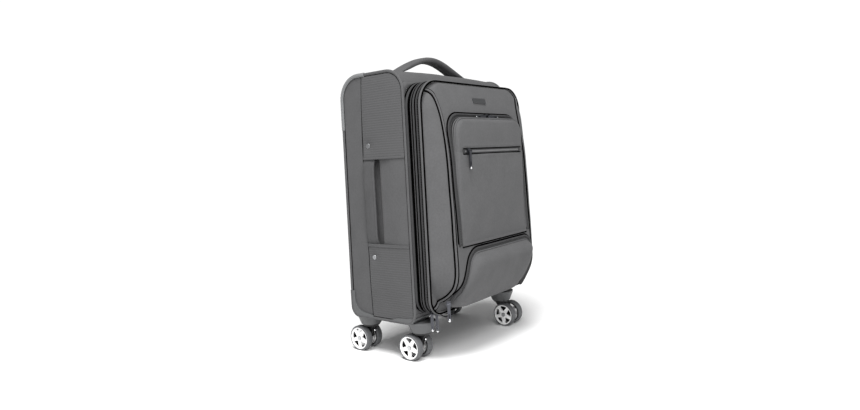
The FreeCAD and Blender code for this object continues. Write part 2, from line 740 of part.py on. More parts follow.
def zip_band(outline):
    """A pocket's zipper tape, laid on the lid's front just outside the pocket."""
    skin = lid_form(LID_BACK, ZIP_BAND_THICK).cut(lid_form())
    depths = (LID_BACK + LID_SIDE_FOOT, LID_FACE_LIMIT)
    band = front_prism(*outline(ZIP_BAND), *depths).cut(front_prism(*outline(ZIP_BAND_GAP), *depths))
    return skin.common(band)


def upper_pocket_zipper():
    return zip_band(upper_outline)


def lower_pocket_zipper():
    """Climbs the pocket's left edge and crosses its top."""
    band = zip_band(lower_outline).cut(front_prism(*upper_outline(0), LID_BACK, LID_FACE_LIMIT))
    start = LOWER_HALF_WIDTH - ZIP_BAND
    right = block(start, HALF, LID_BACK, LID_FACE_LIMIT, LOWER_BOTTOM - 1, LOWER_TOP - ZIP_BAND)
    return band.cut(right)


def lid_front_depth(z):
    """Depth of the lid's front at a height, along the straight runs of its profile."""
    line = [
        (MOUTH_BOTTOM, LID_HEM_RISE),
        (LID_BELLY_Z, LID_BELLY_RISE),
        (LID_SHOULDER_Z, LID_SHOULDER_RISE),
        (MOUTH_TOP, LID_CREST_RISE),
    ]
    for (low, low_rise), (high, high_rise) in zip(line, line[1:]):
        if z <= high:
            return LID_BACK + low_rise + (high_rise - low_rise) * (z - low) / (high - low)
    return LID_BACK + LID_CREST_RISE


def badge():
    """Blank plate above the upper pocket."""
    x = BADGE_LENGTH / 2
    low = BADGE_Z - BADGE_HEIGHT / 2
    high = BADGE_Z + BADGE_HEIGHT / 2
    corners = [(-x, low), (x, low), (x, high), (-x, high)]
    plate = front_prism(corners, [2.0] * 4, LID_BACK, LID_BACK + LID_BELLY_RISE)
    return plate.common(lid_form(LID_BACK, BADGE_THICK)).cut(lid_form())


def fabric_hinge():
    """Doubled fabric on the right that the lid swings on: it stands in the zipper's place there."""
    inner = HALF + HINGE_GAP
    outer = inner + HINGE_THICK
    low = MOUTH_BOTTOM + MOUTH_RADIUS
    high = MOUTH_TOP - MOUTH_RADIUS
    return block(inner, outer, LID_TAPE_BACK, LID_BACK - HINGE_GAP, low, high)


# ---------------------------------------------------------------- zipper sliders and pulls
def upright_edges(shape, axis, longer_than):
    """Edges that run straight along one axis letter for more than a length."""
    found = []
    for edge in shape.Edges:
        span = {"X": edge.BoundBox.XLength, "Y": edge.BoundBox.YLength, "Z": edge.BoundBox.ZLength}
        along = span.pop(axis)
        if along > longer_than and max(span.values()) < 1e-6:
            found.append(edge)
    return found


def slider_form():
    """A slider in its own frame: track face at y = 0, pull pin along X, outwards is -Y."""
    half = SLIDER_WIDTH / 2
    corner = Vector(-half, -SLIDER_THICK, -SLIDER_LENGTH / 2)
    body = Part.makeBox(SLIDER_WIDTH, SLIDER_THICK, SLIDER_LENGTH, corner)
    body = body.makeFillet(1.0, upright_edges(body, "Y", 1.0))
    lug_x = PULL_WIDTH / 2 + LUG_GAP
    for x in (lug_x, -lug_x - LUG_THICK):
        foot = Vector(x, -SLIDER_THICK - LUG_HEIGHT, -LUG_HEIGHT / 2)
        body = body.fuse(Part.makeBox(LUG_THICK, LUG_HEIGHT, LUG_HEIGHT, foot))
    start = Vector(-PULL_WIDTH / 2 - 1, -pin_offset(), 0)
    pin = Part.makeCylinder(PIN_RADIUS, PULL_WIDTH + 2, start, Vector(1, 0, 0))
    return body.fuse(pin).removeSplitter()


def pin_offset():
    """How far the pull's pin stands outside the track face."""
    return SLIDER_THICK + PIN_RISE


def pull_form():
    """A pull in the slider's frame, hanging down from the pin, with a slot near its tip."""
    half = PULL_WIDTH / 2
    y = -pin_offset()
    back = y - PULL_THICK / 2
    tab = Part.makeBox(PULL_WIDTH, PULL_THICK, PULL_LENGTH, Vector(-half, back, -PULL_LENGTH))
    tip = [e for e in upright_edges(tab, "Y", 1.0) if e.BoundBox.ZMax < -PULL_LENGTH / 2]
    tab = tab.makeFillet(half * 0.85, tip)
    across = Vector(1, 0, 0)
    start = Vector(-half, y, 0)
    eye = Part.makeCylinder(PULL_THICK * 0.62, PULL_WIDTH, start, across)
    bore = Part.makeCylinder(PIN_RADIUS + PIN_CLEARANCE, PULL_WIDTH, start, across)
    low = Vector(-PULL_HOLE_WIDTH / 2, back, -PULL_LENGTH + PULL_TIP)
    slot = Part.makeBox(PULL_HOLE_WIDTH, PULL_THICK, PULL_HOLE_LENGTH, low)
    return tab.fuse(eye).cut(bore).cut(slot).removeSplitter()


def placed(shape, point, turn=0.0, roll=0.0):
    """Puts a slider-frame shape at a point: rolled about its own outward axis, then turned about Z."""
    copy = shape.copy()
    copy.rotate(Vector(0, 0, 0), Vector(0, 1, 0), roll)
    copy.rotate(Vector(0, 0, 0), Vector(0, 0, 1), turn)
    copy.translate(point)
    return copy


def welt_seat():
    """Where the straight zipper's slider rests, at its closed end."""
    x = -WELT_HALF_LENGTH + WELT_SEAT_INSET
    return Vector(x, y_at(LID_BACK + UPPER_RISE + SLIDER_GAP), WELT_Z)


def upper_seats():
    """Two sliders side by side at the top of the upper pocket, their pulls lying outwards."""
    z = UPPER_TOP + ZIP_BAND / 2
    depth = lid_front_depth(z - SLIDER_WIDTH / 2) + ZIP_BAND_THICK + SLIDER_GAP
    return [(Vector(side * SLIDER_LENGTH * 0.7, y_at(depth), z), side) for side in (-1, 1)]


def bevel_turn():
    """Angle about Z that turns a forward-facing piece square to the left bevel."""
    return -math.degrees(math.atan2(LID_SIDE_RISE - LID_SIDE_FOOT, LID_SIDE_INSET))


def lower_seat():
    """The lower pocket's slider, near the left hem, on the bevel."""
    x = -LOWER_HALF_WIDTH - LOWER_FLARE - ZIP_BAND / 2
    climb = (HALF + x) * (LID_SIDE_RISE - LID_SIDE_FOOT) / LID_SIDE_INSET
    depth = LID_BACK + LID_SIDE_FOOT + climb + ZIP_BAND_THICK + SLIDER_GAP
    return Vector(x, y_at(depth), LOWER_BOTTOM + SLIDER_LENGTH * 1.3)


def main_seats():
    """Two main sliders round the lower left corner of the mouth: track point and outward angle."""
    y = y_at(CASE_TAPE_FRONT + ZIP_GAP / 2)
    radius = MOUTH_RADIUS - TAPE_SINK + SLIDER_GAP
    seats = []
    for angle in MAIN_SLIDER_ANGLES:
        turn = math.radians(angle)
        x = -HALF + MOUTH_RADIUS - radius * math.cos(turn)
        z = MOUTH_BOTTOM + MOUTH_RADIUS - radius * math.sin(turn)
        seats.append((Vector(x, y, z), angle))
    return seats


def main_pin(seat, angle):
    """Centre of a main pull's pin."""
    turn = math.radians(angle)
    return seat + Vector(-math.cos(turn), 0, -math.sin(turn)) * pin_offset()


# ---------------------------------------------------------------- casters
def caster_places():
    """Name, swivel axis and trail direction of each caster: +1 trails to the back."""
    x = HALF - CASTER_INSET_X
    rear = y_at(CASTER_INSET_REAR)
    front = y_at(CASTER_FRONT_DEPTH)
    return [
        ("front_left", Vector(-x, front, 0), 1),
        ("front_right", Vector(x, front, 0), -1),
        ("rear_left", Vector(-x, rear, 0), 1),
        ("rear_right", Vector(x, rear, 0), 1),
    ]


def caster_fork(axis, trail):
    """Fork web between the wheels, with a round plate and a kingpin above it."""
    half = WHEEL_FACE - WHEEL_WIDTH - FORK_SIDE_GAP
    hub = Vector(axis.x - half, axis.y + trail * WHEEL_TRAIL, WHEEL_RADIUS)
    boss = Part.makeCylinder(FORK_BOSS_RADIUS, 2 * half, hub, Vector(1, 0, 0))
    plate_z = FORK_TOP - FORK_PLATE
    web = [
        (axis.y - trail * FORK_PLATE_RADIUS * 0.8, plate_z),
        (axis.y + trail * FORK_PLATE_RADIUS * 0.95, plate_z),
        (hub.y + trail * FORK_BOSS_RADIUS * 0.9, WHEEL_RADIUS + 3),
        (hub.y - trail * FORK_BOSS_RADIUS * 0.7, WHEEL_RADIUS - 5),
    ]
    wire = Part.makePolygon([Vector(axis.x - half, y, z) for y, z in web + web[:1]])
    body = Part.Face(wire).extrude(Vector(2 * half, 0, 0)).fuse(boss)
    plate = Part.makeCylinder(FORK_PLATE_RADIUS, FORK_PLATE, Vector(axis.x, axis.y, plate_z))
    pin = Part.makeCylinder(KINGPIN_RADIUS, KINGPIN_LENGTH, Vector(axis.x, axis.y, FORK_TOP))
    hole = Part.makeCylinder(AXLE_RADIUS, 2 * half + 2, hub - Vector(1, 0, 0), Vector(1, 0, 0))
    return body.fuse(plate).fuse(pin).removeSplitter().cut(hole)


def caster_axle(axis, trail):
    """Steel axle pressed through the fork, with a flanged cap outside each wheel."""
    reach = WHEEL_FACE
    y = axis.y + trail * WHEEL_TRAIL
    left_end = Vector(axis.x - reach, y, WHEEL_RADIUS)
    shaft = Part.makeCylinder(AXLE_RADIUS, 2 * reach, left_end, Vector(1, 0, 0))
    for side in (-1, 1):
        start = Vector(axis.x + side * (reach - AXLE_CAP_SEAT), y, WHEEL_RADIUS)
        cap = Part.makeCylinder(AXLE_CAP_RADIUS, AXLE_CAP_THICK, start, Vector(side, 0, 0))
        shaft = shaft.fuse(cap)
    return shaft.removeSplitter()


def spoke_window(radius_in, radius_out, width):
    """One triangular opening between two spokes, in the plane x = 0."""
    half_gap = SPOKE_WIDTH / 2
    turn = math.pi / RIM_SPOKES
    inner = radius_in / math.sin(turn) * 0.62
    outer_angle = turn - math.asin(half_gap / radius_out)
    corners = [Vector(0, 0, inner)]
    for angle in (outer_angle, -outer_angle):
        corners.append(Vector(0, radius_out * math.sin(angle), radius_out * math.cos(angle)))
    left = Part.LineSegment(corners[0], corners[1]).toShape()
    rim = Part.Arc(corners[1], Vector(0, 0, radius_out), corners[2]).toShape()
    right = Part.LineSegment(corners[2], corners[0]).toShape()
    opening = Part.Face(Part.Wire([left, rim, right])).extrude(Vector(width, 0, 0))
    return opening.makeFillet(SPOKE_FILLET, upright_edges(opening, "X", width / 2))


def wheel_form():
    """A wheel about the X axis from x = 0 (inner face) to its outer face: core and bonded tyre."""
    core_radius = WHEEL_RADIUS - TYRE
    along = Vector(1, 0, 0)
    origin = Vector(0, 0, 0)
    ring_bore = core_radius - RIM_RING
    core = Part.makeCylinder(core_radius, WHEEL_WIDTH - 1, origin, along)
    core = core.cut(Part.makeCylinder(ring_bore, WHEEL_WIDTH, origin, along))
    web_x = WHEEL_WIDTH - 1 - RIM_WEB
    web = Part.makeCylinder(ring_bore, RIM_WEB, Vector(web_x, 0, 0), along)
    for i in range(RIM_SPOKES):
        window = spoke_window(HUB_RADIUS, ring_bore - 0.5, WHEEL_WIDTH)
        window.rotate(origin, along, i * 360.0 / RIM_SPOKES)
        web = web.cut(window)
    hub = Part.makeCylinder(HUB_RADIUS, WHEEL_WIDTH - 1, origin, along)
    well_depth = AXLE_CAP_SEAT + AXLE_CAP_FIT
    well_start = Vector(WHEEL_WIDTH - well_depth, 0, 0)
    cap_well = Part.makeCylinder(AXLE_CAP_RADIUS + AXLE_CAP_FIT, well_depth, well_start, along)
    bore = Part.makeCylinder(AXLE_RADIUS + AXLE_CLEARANCE, WHEEL_WIDTH, origin, along)
    core = core.fuse(web).fuse(hub).removeSplitter().cut(bore).cut(cap_well)
    tyre = Part.makeCylinder(WHEEL_RADIUS, WHEEL_WIDTH, origin, along)
    tyre = tyre.makeFillet(TYRE_ROUND, [e for e in tyre.Edges if e.Curve.TypeId == "Part::GeomCircle"])
    tyre = tyre.cut(Part.makeCylinder(core_radius, WHEEL_WIDTH, origin, along))
    return [core, tyre]


def wheel(axis, trail, side):
    """Both solids of one wheel, its outer face towards side."""
    inner_face = side * (WHEEL_FACE - WHEEL_WIDTH)
    centre = axis + Vector(inner_face, trail * WHEEL_TRAIL, WHEEL_RADIUS)
    solids = []
    for solid in wheel_form():
        if side < 0:
            solid = mirrored(solid)
        solid.translate(centre)
        solids.append(solid)
    return solids


def guard_skin(window_points, window_radii, sign):
    """Plastic skin over a bottom corner, filled, where it shows through a side-view window."""
    half = HALF + GUARD_WALL
    skin = side_prism(*side_outline(-GUARD_WALL), -half, half)
    window = side_prism(window_points, window_radii, -half - 1, -HALF + GUARD_REACH_IN)
    guard = skin.common(window)
    return guard if sign < 0 else mirrored(guard)


def rear_guard(sign):
    """Guard under a rear corner and a little way up the back edge."""
    below = SIDE_BOTTOM - 2 * GUARD_WALL
    behind = -2 * GUARD_WALL
    window = [
        (behind, below),
        (REAR_GUARD_REACH, below),
        (REAR_GUARD_REACH, SIDE_BOTTOM + 2 * GUARD_WALL),
        (REAR_GUARD_STRIP, SIDE_BOTTOM + 5 * GUARD_WALL),
        (REAR_GUARD_STRIP, REAR_GUARD_HEIGHT),
        (behind, REAR_GUARD_HEIGHT),
    ]
    return guard_skin(window, [0, 0, 3.0, 26.0, 3.0, 0], sign)


def front_guard(sign):
    """Guard under a front corner."""
    start = CASE_DEPTH - FRONT_GUARD_REACH
    end = CASE_DEPTH - 1
    below = SIDE_BOTTOM - 2 * GUARD_WALL
    window = [
        (start, below),
        (end, below),
        (end, SIDE_BOTTOM + 4 * GUARD_WALL),
        (start + FRONT_GUARD_REACH / 3, SIDE_BOTTOM + 3 * GUARD_WALL),
        (start, SIDE_BOTTOM + GUARD_WALL / 2),
    ]
    return guard_skin(window, [0, 0, 2.0, 20.0, 2.0], sign)


def caster_housing(axis, guard):
    """Moulded foot under a corner: it tapers from the case to a round neck over the fork."""
    neck_z = FORK_TOP + HOUSING_GAP
    stations = [
        (neck_z, HOUSING_NECK_RADIUS),
        (SIDE_BOTTOM - GUARD_WALL, HOUSING_FOOT),
        (SIDE_BOTTOM, HOUSING_FOOT),
    ]
    rings = []
    for z, radius in stations:
        circle = Part.Circle(Vector(axis.x, axis.y, z), Vector(0, 0, 1), radius)
        rings.append(Part.Wire([circle.toShape()]))
    foot = Part.makeLoft(rings, True, True)
    half = HALF + GUARD_WALL
    foot = foot.common(block(-half, half, -GUARD_WALL, CASE_DEPTH + HOUSING_FOOT, 0, SIDE_BOTTOM))
    body = foot.fuse(guard).cut(case_block())
    below = Vector(axis.x, axis.y, neck_z - 1)
    bore_length = KINGPIN_LENGTH + 1
    bore = Part.makeCylinder(KINGPIN_RADIUS + KINGPIN_CLEARANCE, bore_length, below)
    return body.cut(bore).removeSplitter()


def build():
    """Makes and saves every sub-part."""
    guards = {
        "front_left": front_guard(-1),
        "front_right": front_guard(1),
        "rear_left": rear_guard(-1),
        "rear_right": rear_guard(1),
    }
    housings = {name: caster_housing(axis, guards[name]) for name, axis, _ in caster_places()}
    corner_guards = [rear_corner_guard(side) for side in (-1, 1)]
    hard_trim = group(list(housings.values()) + corner_guards)
    save("back_panel", back_panel())
    save("top_panel", top_panel())
    save("base_board", base_board())
    save("left_side_panel", side_panel_left())
    save("right_side_panel", side_panel_right())
    save("expander_gusset", expander_gusset())
    save("expansion_zipper", expansion_zipper())
    save("main_zipper_case_side", main_zipper_case_side())
    save("side_piping", group([side_piping(side, hard_trim) for side in (-1, 1)]))
    save("side_patches", group(side_patches()))
    save("side_carry_strap", side_carry_strap())
    save("side_strap_rivets", group(side_strap_rivets()))
    save("top_handle", top_handle())
    save("rear_corner_guards", group(corner_guards))
    for name, housing in housings.items():
        save("caster_housing_" + name, housing)
    save("trolley_bezel", trolley_bezel())
    save("trolley_outer_tubes", group(trolley_outer_tubes()))
    save("trolley_foot", trolley_foot())
    save("trolley_middle_tubes", group(trolley_middle_tubes()))
    save("trolley_inner_tubes", group(trolley_inner_tubes()))
    save("trolley_grip", trolley_grip())
    save("trolley_button", trolley_button())
    save("lid_shell", lid_shell())
    save("lid_piping", lid_piping())
    save("main_zipper_lid_side", main_zipper_lid_side())
    save("upper_pocket", upper_pocket())
    save("upper_pocket_zipper", upper_pocket_zipper())
    save("welt_zipper", welt_zipper())
    save("lower_pocket", lower_pocket())
    save("lower_pocket_zipper", lower_pocket_zipper())
    save("badge", badge())
    save("fabric_hinge", fabric_hinge())
    save_sliders()
    for name, axis, trail in caster_places():
        save("caster_fork_" + name, caster_fork(axis, trail))
        save("caster_axle_" + name, caster_axle(axis, trail))
        for side, word in ((-1, "left"), (1, "right")):
            save("wheel_" + name + "_" + word, group(wheel(axis, trail, side)))


def save_sliders():
    """Sliders that stay on the lid share a node; each pull has its own."""
    slider = slider_form()
    pull = pull_form()
    save("welt_slider", placed(slider, welt_seat()))
    save("welt_pull", placed(pull, welt_seat()))
    fixed = [placed(slider, lower_seat(), turn=bevel_turn())]
    save("lower_pocket_pull", placed(pull, lower_seat(), turn=bevel_turn()))
    for point, side in upper_seats():
        word = "left" if side < 0 else "right"
        fixed.append(placed(slider, point, roll=-90.0 * side))
        save("upper_pocket_pull_" + word, placed(pull, point, roll=-90.0 * side))
    for (point, angle), word in zip(main_seats(), ("outer", "inner")):
        tilted = placed(slider, Vector(0, 0, 0), turn=-90.0)
        tilted.rotate(Vector(0, 0, 0), Vector(0, 1, 0), -angle)
        tilted.translate(point)
        fixed.append(tilted)
        hang = main_pin(point, angle) + Vector(pin_offset(), 0, 0)
        save("main_zipper_pull_" + word, placed(pull, hang, turn=-90.0))
    save("zipper_sliders", group(fixed))


os.makedirs("parts", exist_ok=True)
build()
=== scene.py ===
"""Softside upright suitcase: its fabric, trim and finishes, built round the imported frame.

Lengths are in millimetres until a mesh is made, and every piece is made in the frame's own place.
"Depth" is the distance in front of the case's back face, so a larger depth lies further to -Y.
"""

import logging
import math
from dataclasses import dataclass, field
from enum import Enum
from typing import Callable, Optional, Sequence, Union

import bmesh
import bpy
from mathutils import Matrix, Vector, kdtree, noise


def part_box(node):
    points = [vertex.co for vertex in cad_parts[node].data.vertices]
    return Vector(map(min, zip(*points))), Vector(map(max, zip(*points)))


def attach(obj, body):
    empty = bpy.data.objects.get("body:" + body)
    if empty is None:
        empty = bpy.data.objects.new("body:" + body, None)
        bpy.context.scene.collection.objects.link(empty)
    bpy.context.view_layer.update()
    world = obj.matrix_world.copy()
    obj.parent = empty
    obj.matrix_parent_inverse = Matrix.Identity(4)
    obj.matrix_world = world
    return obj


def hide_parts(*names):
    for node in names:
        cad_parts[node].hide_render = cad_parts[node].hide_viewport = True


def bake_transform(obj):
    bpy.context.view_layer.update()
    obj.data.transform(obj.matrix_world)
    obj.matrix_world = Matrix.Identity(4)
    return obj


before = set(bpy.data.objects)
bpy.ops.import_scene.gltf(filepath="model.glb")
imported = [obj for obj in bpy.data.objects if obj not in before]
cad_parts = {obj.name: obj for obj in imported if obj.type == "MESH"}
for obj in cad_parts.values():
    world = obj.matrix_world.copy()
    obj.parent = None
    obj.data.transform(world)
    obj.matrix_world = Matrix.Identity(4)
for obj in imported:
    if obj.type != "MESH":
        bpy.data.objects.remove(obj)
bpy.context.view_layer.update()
LOG = logging.getLogger("suitcase")
MM = 0.001
TURN = 2 * math.pi


# ---------------------------------------------------------------- small helpers
def linear(tint: str) -> tuple[float, float, float, float]:
    """Turns an sRGB hex colour into linear RGBA.

    Args:
        tint: Colour such as "#5a5a5c".

    Returns:
        Linear red, green, blue and an alpha of one.
    """
    parts = [int(tint[i : i + 2], 16) / 255 for i in (1, 3, 5)]
    flat = [c / 12.92 if c <= 0.04045 else ((c + 0.055) / 1.055) ** 2.4 for c in parts]
    return (flat[0], flat[1], flat[2], 1.0)


class Maths(Enum):
    """What a math node does with its values."""

    PLUS = "ADD"
    MINUS = "SUBTRACT"
    TIMES = "MULTIPLY"
    TIMES_PLUS = "MULTIPLY_ADD"
    ABOVE = "GREATER_THAN"
    SIZE = "ABSOLUTE"
    ROOT = "SQRT"
    SINE = "SINE"


def add_node(
    tree: bpy.types.NodeTree,
    kind: Union[str, Maths],
    settings: Optional[dict] = None,
    inputs: Optional[dict] = None,
) -> bpy.types.Node:
    """Adds a node, sets its options and fills its sockets.

    Args:
        tree: The node tree that gets the node.
        kind: Blender's name of the node, or what a math node does.
        settings: Option names and their values.
        inputs: Socket names or numbers, with a value, a socket or a node (its first output) for each.

    Returns:
        The new node.
    """
    if isinstance(kind, Maths):
        kind, settings = "ShaderNodeMath", {"operation": kind.value}
    node = tree.nodes.new(kind)
    for option, value in (settings or {}).items():
        setattr(node, option, value)
    for socket, value in (inputs or {}).items():
        if isinstance(value, bpy.types.Node):
            value = value.outputs[0]
        if isinstance(value, bpy.types.NodeSocket):
            tree.links.new(value, node.inputs[socket])
        else:
            node.inputs[socket].default_value = value
    return node


def smooth_step(value: float, low: float, high: float) -> float:
    """Rises from 0 at low to 1 at high with level ends."""
    t = min(max((value - low) / (high - low), 0.0), 1.0)
    return t * t * (3 - 2 * t)


def soft_min(first: float, second: float, blend: float) -> float:
    """The smaller of two values, with the crease between them rounded over a blend width."""
    gap = max(blend - abs(first - second), 0.0) / blend
    return min(first, second) - gap * gap * blend / 4


def slack(a: float, b: float, amount: float) -> float:
    """Gentle hollows that padded cloth falls into between its seams, from 0 to about an amount.

    Args:
        a: First axis of the place.
        b: Second axis of the place.
        amount: Depth of the deepest hollow.

    Returns:
        The depth of the hollow there.
    """
    broad = noise.noise(Vector((a / 46, b / 62, 3.1)))
    fine = noise.noise(Vector((a / 17, b / 29, 7.7)))
    return amount * (0.5 + 0.75 * broad + 0.25 * fine)


def edge_roll(distance: float, radius: float) -> float:
    """How far a rolled edge of a radius lies below the face at a distance from the outline.

    Args:
        distance: How far inside the outline the point lies.
        radius: Radius of the roll.

    Returns:
        The drop below the face.
    """
    if distance >= radius:
        return 0.0
    return radius - math.sqrt(max(radius**2 - (radius - distance) ** 2, 0.0))


def spread(low: float, high: float, count: int, crowd: float = 0.11) -> list[float]:
    """Values from low to high that stand closer together near both ends.

    Args:
        low: Lower end.
        high: Upper end.
        count: How many values.
        crowd: How strongly they crowd; 0 spaces them evenly.

    Returns:
        The values, in order.
    """
    values = []
    for i in range(count + 1):
        t = i / count
        values.append(low + (high - low) * (t - crowd * math.sin(TURN * t)))
    return values


# ---------------------------------------------------------------- finishes
class Finish:
    """A surface finish. Each kind fills in its own shader."""

    name: str

    def material(self) -> bpy.types.Material:
        """Returns this finish's material, made on first use.

        Returns:
            The material.
        """
        found = bpy.data.materials.get(self.name)
        if found:
            return found
        made = bpy.data.materials.new(self.name)
        made.use_nodes = True
        shader = made.node_tree.nodes["Principled BSDF"]
        self.dress(made.node_tree, shader)
        return made

    def dress(self, tree: bpy.types.NodeTree, shader: bpy.types.Node) -> None:
        """Sets the shader's sockets and links its patterns."""
        raise NotImplementedError


def wave(tree: bpy.types.NodeTree, value: bpy.types.NodeSocket, pitch_mm: float) -> bpy.types.Node:
    """A sine of a coordinate in metres, with its pitch in millimetres."""
    turns = add_node(tree, Maths.TIMES, inputs={0: value, 1: TURN / (pitch_mm * MM)})
    return add_node(tree, Maths.SINE, inputs={0: turns})


def grains(place: bpy.types.NodeSocket, size_mm: float, detail: float = 2.0) -> dict:
    """Inputs of a noise whose grains are about a size in millimetres."""
    return {"Vector": place, "Scale": 1.0 / (size_mm * MM), "Detail": detail}


def shade(
    tree: bpy.types.NodeTree, tint: str, amount: bpy.types.Node, spread_by: float
) -> bpy.types.NodeSocket:
    """A colour that runs darker and lighter with a 0..1 pattern.

    Args:
        tree: The material's node tree.
        tint: Mid colour, sRGB hex.
        amount: Node of the pattern.
        spread_by: How far the colour goes either way, as a fraction of itself.

    Returns:
        The colour socket.
    """
    mid = linear(tint)
    low = tuple(c * (1 - spread_by) for c in mid[:3]) + (1.0,)
    high = tuple(min(c * (1 + spread_by), 1.0) for c in mid[:3]) + (1.0,)
    return add_node(tree, "ShaderNodeMix", {"data_type": "RGBA"}, {0: amount, 6: low, 7: high}).outputs[2]


@dataclass(frozen=True)
class Cloth(Finish):
    """Woven polyester: plain weave with slubs, and raised ribs across it where rib_mm isn't zero.

    Real yarns lie about 0.4 mm apart, too fine to show on a whole case, so they are drawn at
    thread_mm, three to four times as coarse. The eye gets a matt, faintly grainy grey from it,
    with a thin pale bloom where the cloth turns away.
    """

    name: str
    tint: str
    thread_mm: float = 1.5
    rib_mm: float = 0.0
    relief_mm: float = 0.25
    sheen: float = 0.06
    mottled: float = 0.10
    gloss: float = 0.3
    slub_threads: float = 2.2
    cloud_mm: float = 38.0

    def dress(self, tree: bpy.types.NodeTree, shader: bpy.types.Node) -> None:
        """Threads cross at right angles; slubs and a faint cloudiness break the colour up.

        Args:
            tree: The material's node tree.
            shader: Its shader node.
        """
        place = add_node(tree, "ShaderNodeTexCoord").outputs["Object"]
        axes = add_node(tree, "ShaderNodeSeparateXYZ", inputs={0: place}).outputs
        across = add_node(tree, Maths.PLUS, inputs={0: axes["X"], 1: axes["Y"]})
        warp = wave(tree, across, self.thread_mm)
        weft = wave(tree, axes["Z"], self.thread_mm)
        weave = add_node(tree, Maths.TIMES, inputs={0: warp, 1: weft})
        slub_grains = grains(place, self.thread_mm * self.slub_threads, 3.0)
        slubs = add_node(tree, "ShaderNodeTexNoise", inputs=slub_grains)
        clouds = add_node(tree, "ShaderNodeTexNoise", inputs=grains(place, self.cloud_mm))
        height = add_node(tree, Maths.TIMES_PLUS, inputs={0: weave, 1: 0.25, 2: slubs})
        faded = add_node(tree, Maths.TIMES, inputs={0: slubs, 1: 0.55})
        blend = add_node(tree, Maths.TIMES_PLUS, inputs={0: clouds, 1: 0.45, 2: faded})
        if self.rib_mm:
            ribs = wave(tree, axes["Z"], self.rib_mm)
            height = add_node(tree, Maths.TIMES_PLUS, inputs={0: ribs, 1: 0.8, 2: height})
            blend = add_node(tree, Maths.TIMES_PLUS, inputs={0: ribs, 1: 0.22, 2: blend})
        relief = {"Height": height, "Strength": 0.55, "Distance": self.relief_mm * MM}
        bump = add_node(tree, "ShaderNodeBump", inputs=relief)
        colour = shade(tree, self.tint, blend, self.mottled * 3)
        tree.links.new(colour, shader.inputs["Base Color"])
        tree.links.new(bump.outputs[0], shader.inputs["Normal"])
        shader.inputs["Roughness"].default_value = 0.86
        shader.inputs["Sheen Weight"].default_value = self.sheen
        shader.inputs["Sheen Roughness"].default_value = 0.5
        shader.inputs["Specular IOR Level"].default_value = self.gloss


@dataclass(frozen=True)
class Moulding(Finish):
    """Injection-moulded plastic with a fine spark-eroded grain.

    The real grain is about 0.1 mm, drawn at grain_mm so that it shows: a satin skin whose
    highlights are soft and slightly broken.
    """

    name: str
    tint: str
    roughness: float = 0.5
    grain_mm: float = 0.9
    relief_mm: float = 0.06
    cloud_mm: float = 22.0

    def dress(self, tree: bpy.types.NodeTree, shader: bpy.types.Node) -> None:
        """A fine grain softens the highlights; handling leaves faint glossier clouds.

        Args:
            tree: The material's node tree.
            shader: Its shader node.
        """
        place = add_node(tree, "ShaderNodeTexCoord").outputs["Object"]
        grain = add_node(tree, "ShaderNodeTexNoise", inputs=grains(place, self.grain_mm, 1.0))
        clouds = add_node(tree, "ShaderNodeTexNoise", inputs=grains(place, self.cloud_mm, 3.0))
        relief = {"Height": grain, "Strength": 0.5, "Distance": self.relief_mm * MM}
        bump = add_node(tree, "ShaderNodeBump", inputs=relief)
        limits = {0: clouds, 3: self.roughness - 0.08, 4: self.roughness + 0.08}
        gloss = add_node(tree, "ShaderNodeMapRange", inputs=limits)
        tree.links.new(shade(tree, self.tint, clouds, 0.10), shader.inputs["Base Color"])
        tree.links.new(gloss.outputs[0], shader.inputs["Roughness"])
        tree.links.new(bump.outputs[0], shader.inputs["Normal"])


@dataclass(frozen=True)
class CastMetal(Finish):
    """Zinc casting, steel or aluminium, brushed along its height where brushed is set.

    Tumbling marks a little under a millimetre apart break its reflections into a soft glint.
    """

    name: str
    tint: str
    roughness: float = 0.35
    brushed: bool = False
    mark_mm: float = 0.8
    brush_stretch: float = 0.03

    def dress(self, tree: bpy.types.NodeTree, shader: bpy.types.Node) -> None:
        """Small streaks or tumbling marks vary the gloss and the colour.

        Args:
            tree: The material's node tree.
            shader: Its shader node.
        """
        place = add_node(tree, "ShaderNodeTexCoord").outputs["Object"]
        if self.brushed:
            scale = (1.0, 1.0, self.brush_stretch)
            place = add_node(tree, "ShaderNodeMapping", inputs={0: place, "Scale": scale}).outputs[0]
        marks = add_node(tree, "ShaderNodeTexNoise", inputs=grains(place, self.mark_mm))
        limits = {0: marks, 3: self.roughness - 0.1, 4: self.roughness + 0.12}
        gloss = add_node(tree, "ShaderNodeMapRange", inputs=limits)
        tree.links.new(shade(tree, self.tint, marks, 0.12), shader.inputs["Base Color"])
        tree.links.new(gloss.outputs[0], shader.inputs["Roughness"])
        shader.inputs["Metallic"].default_value = 1.0


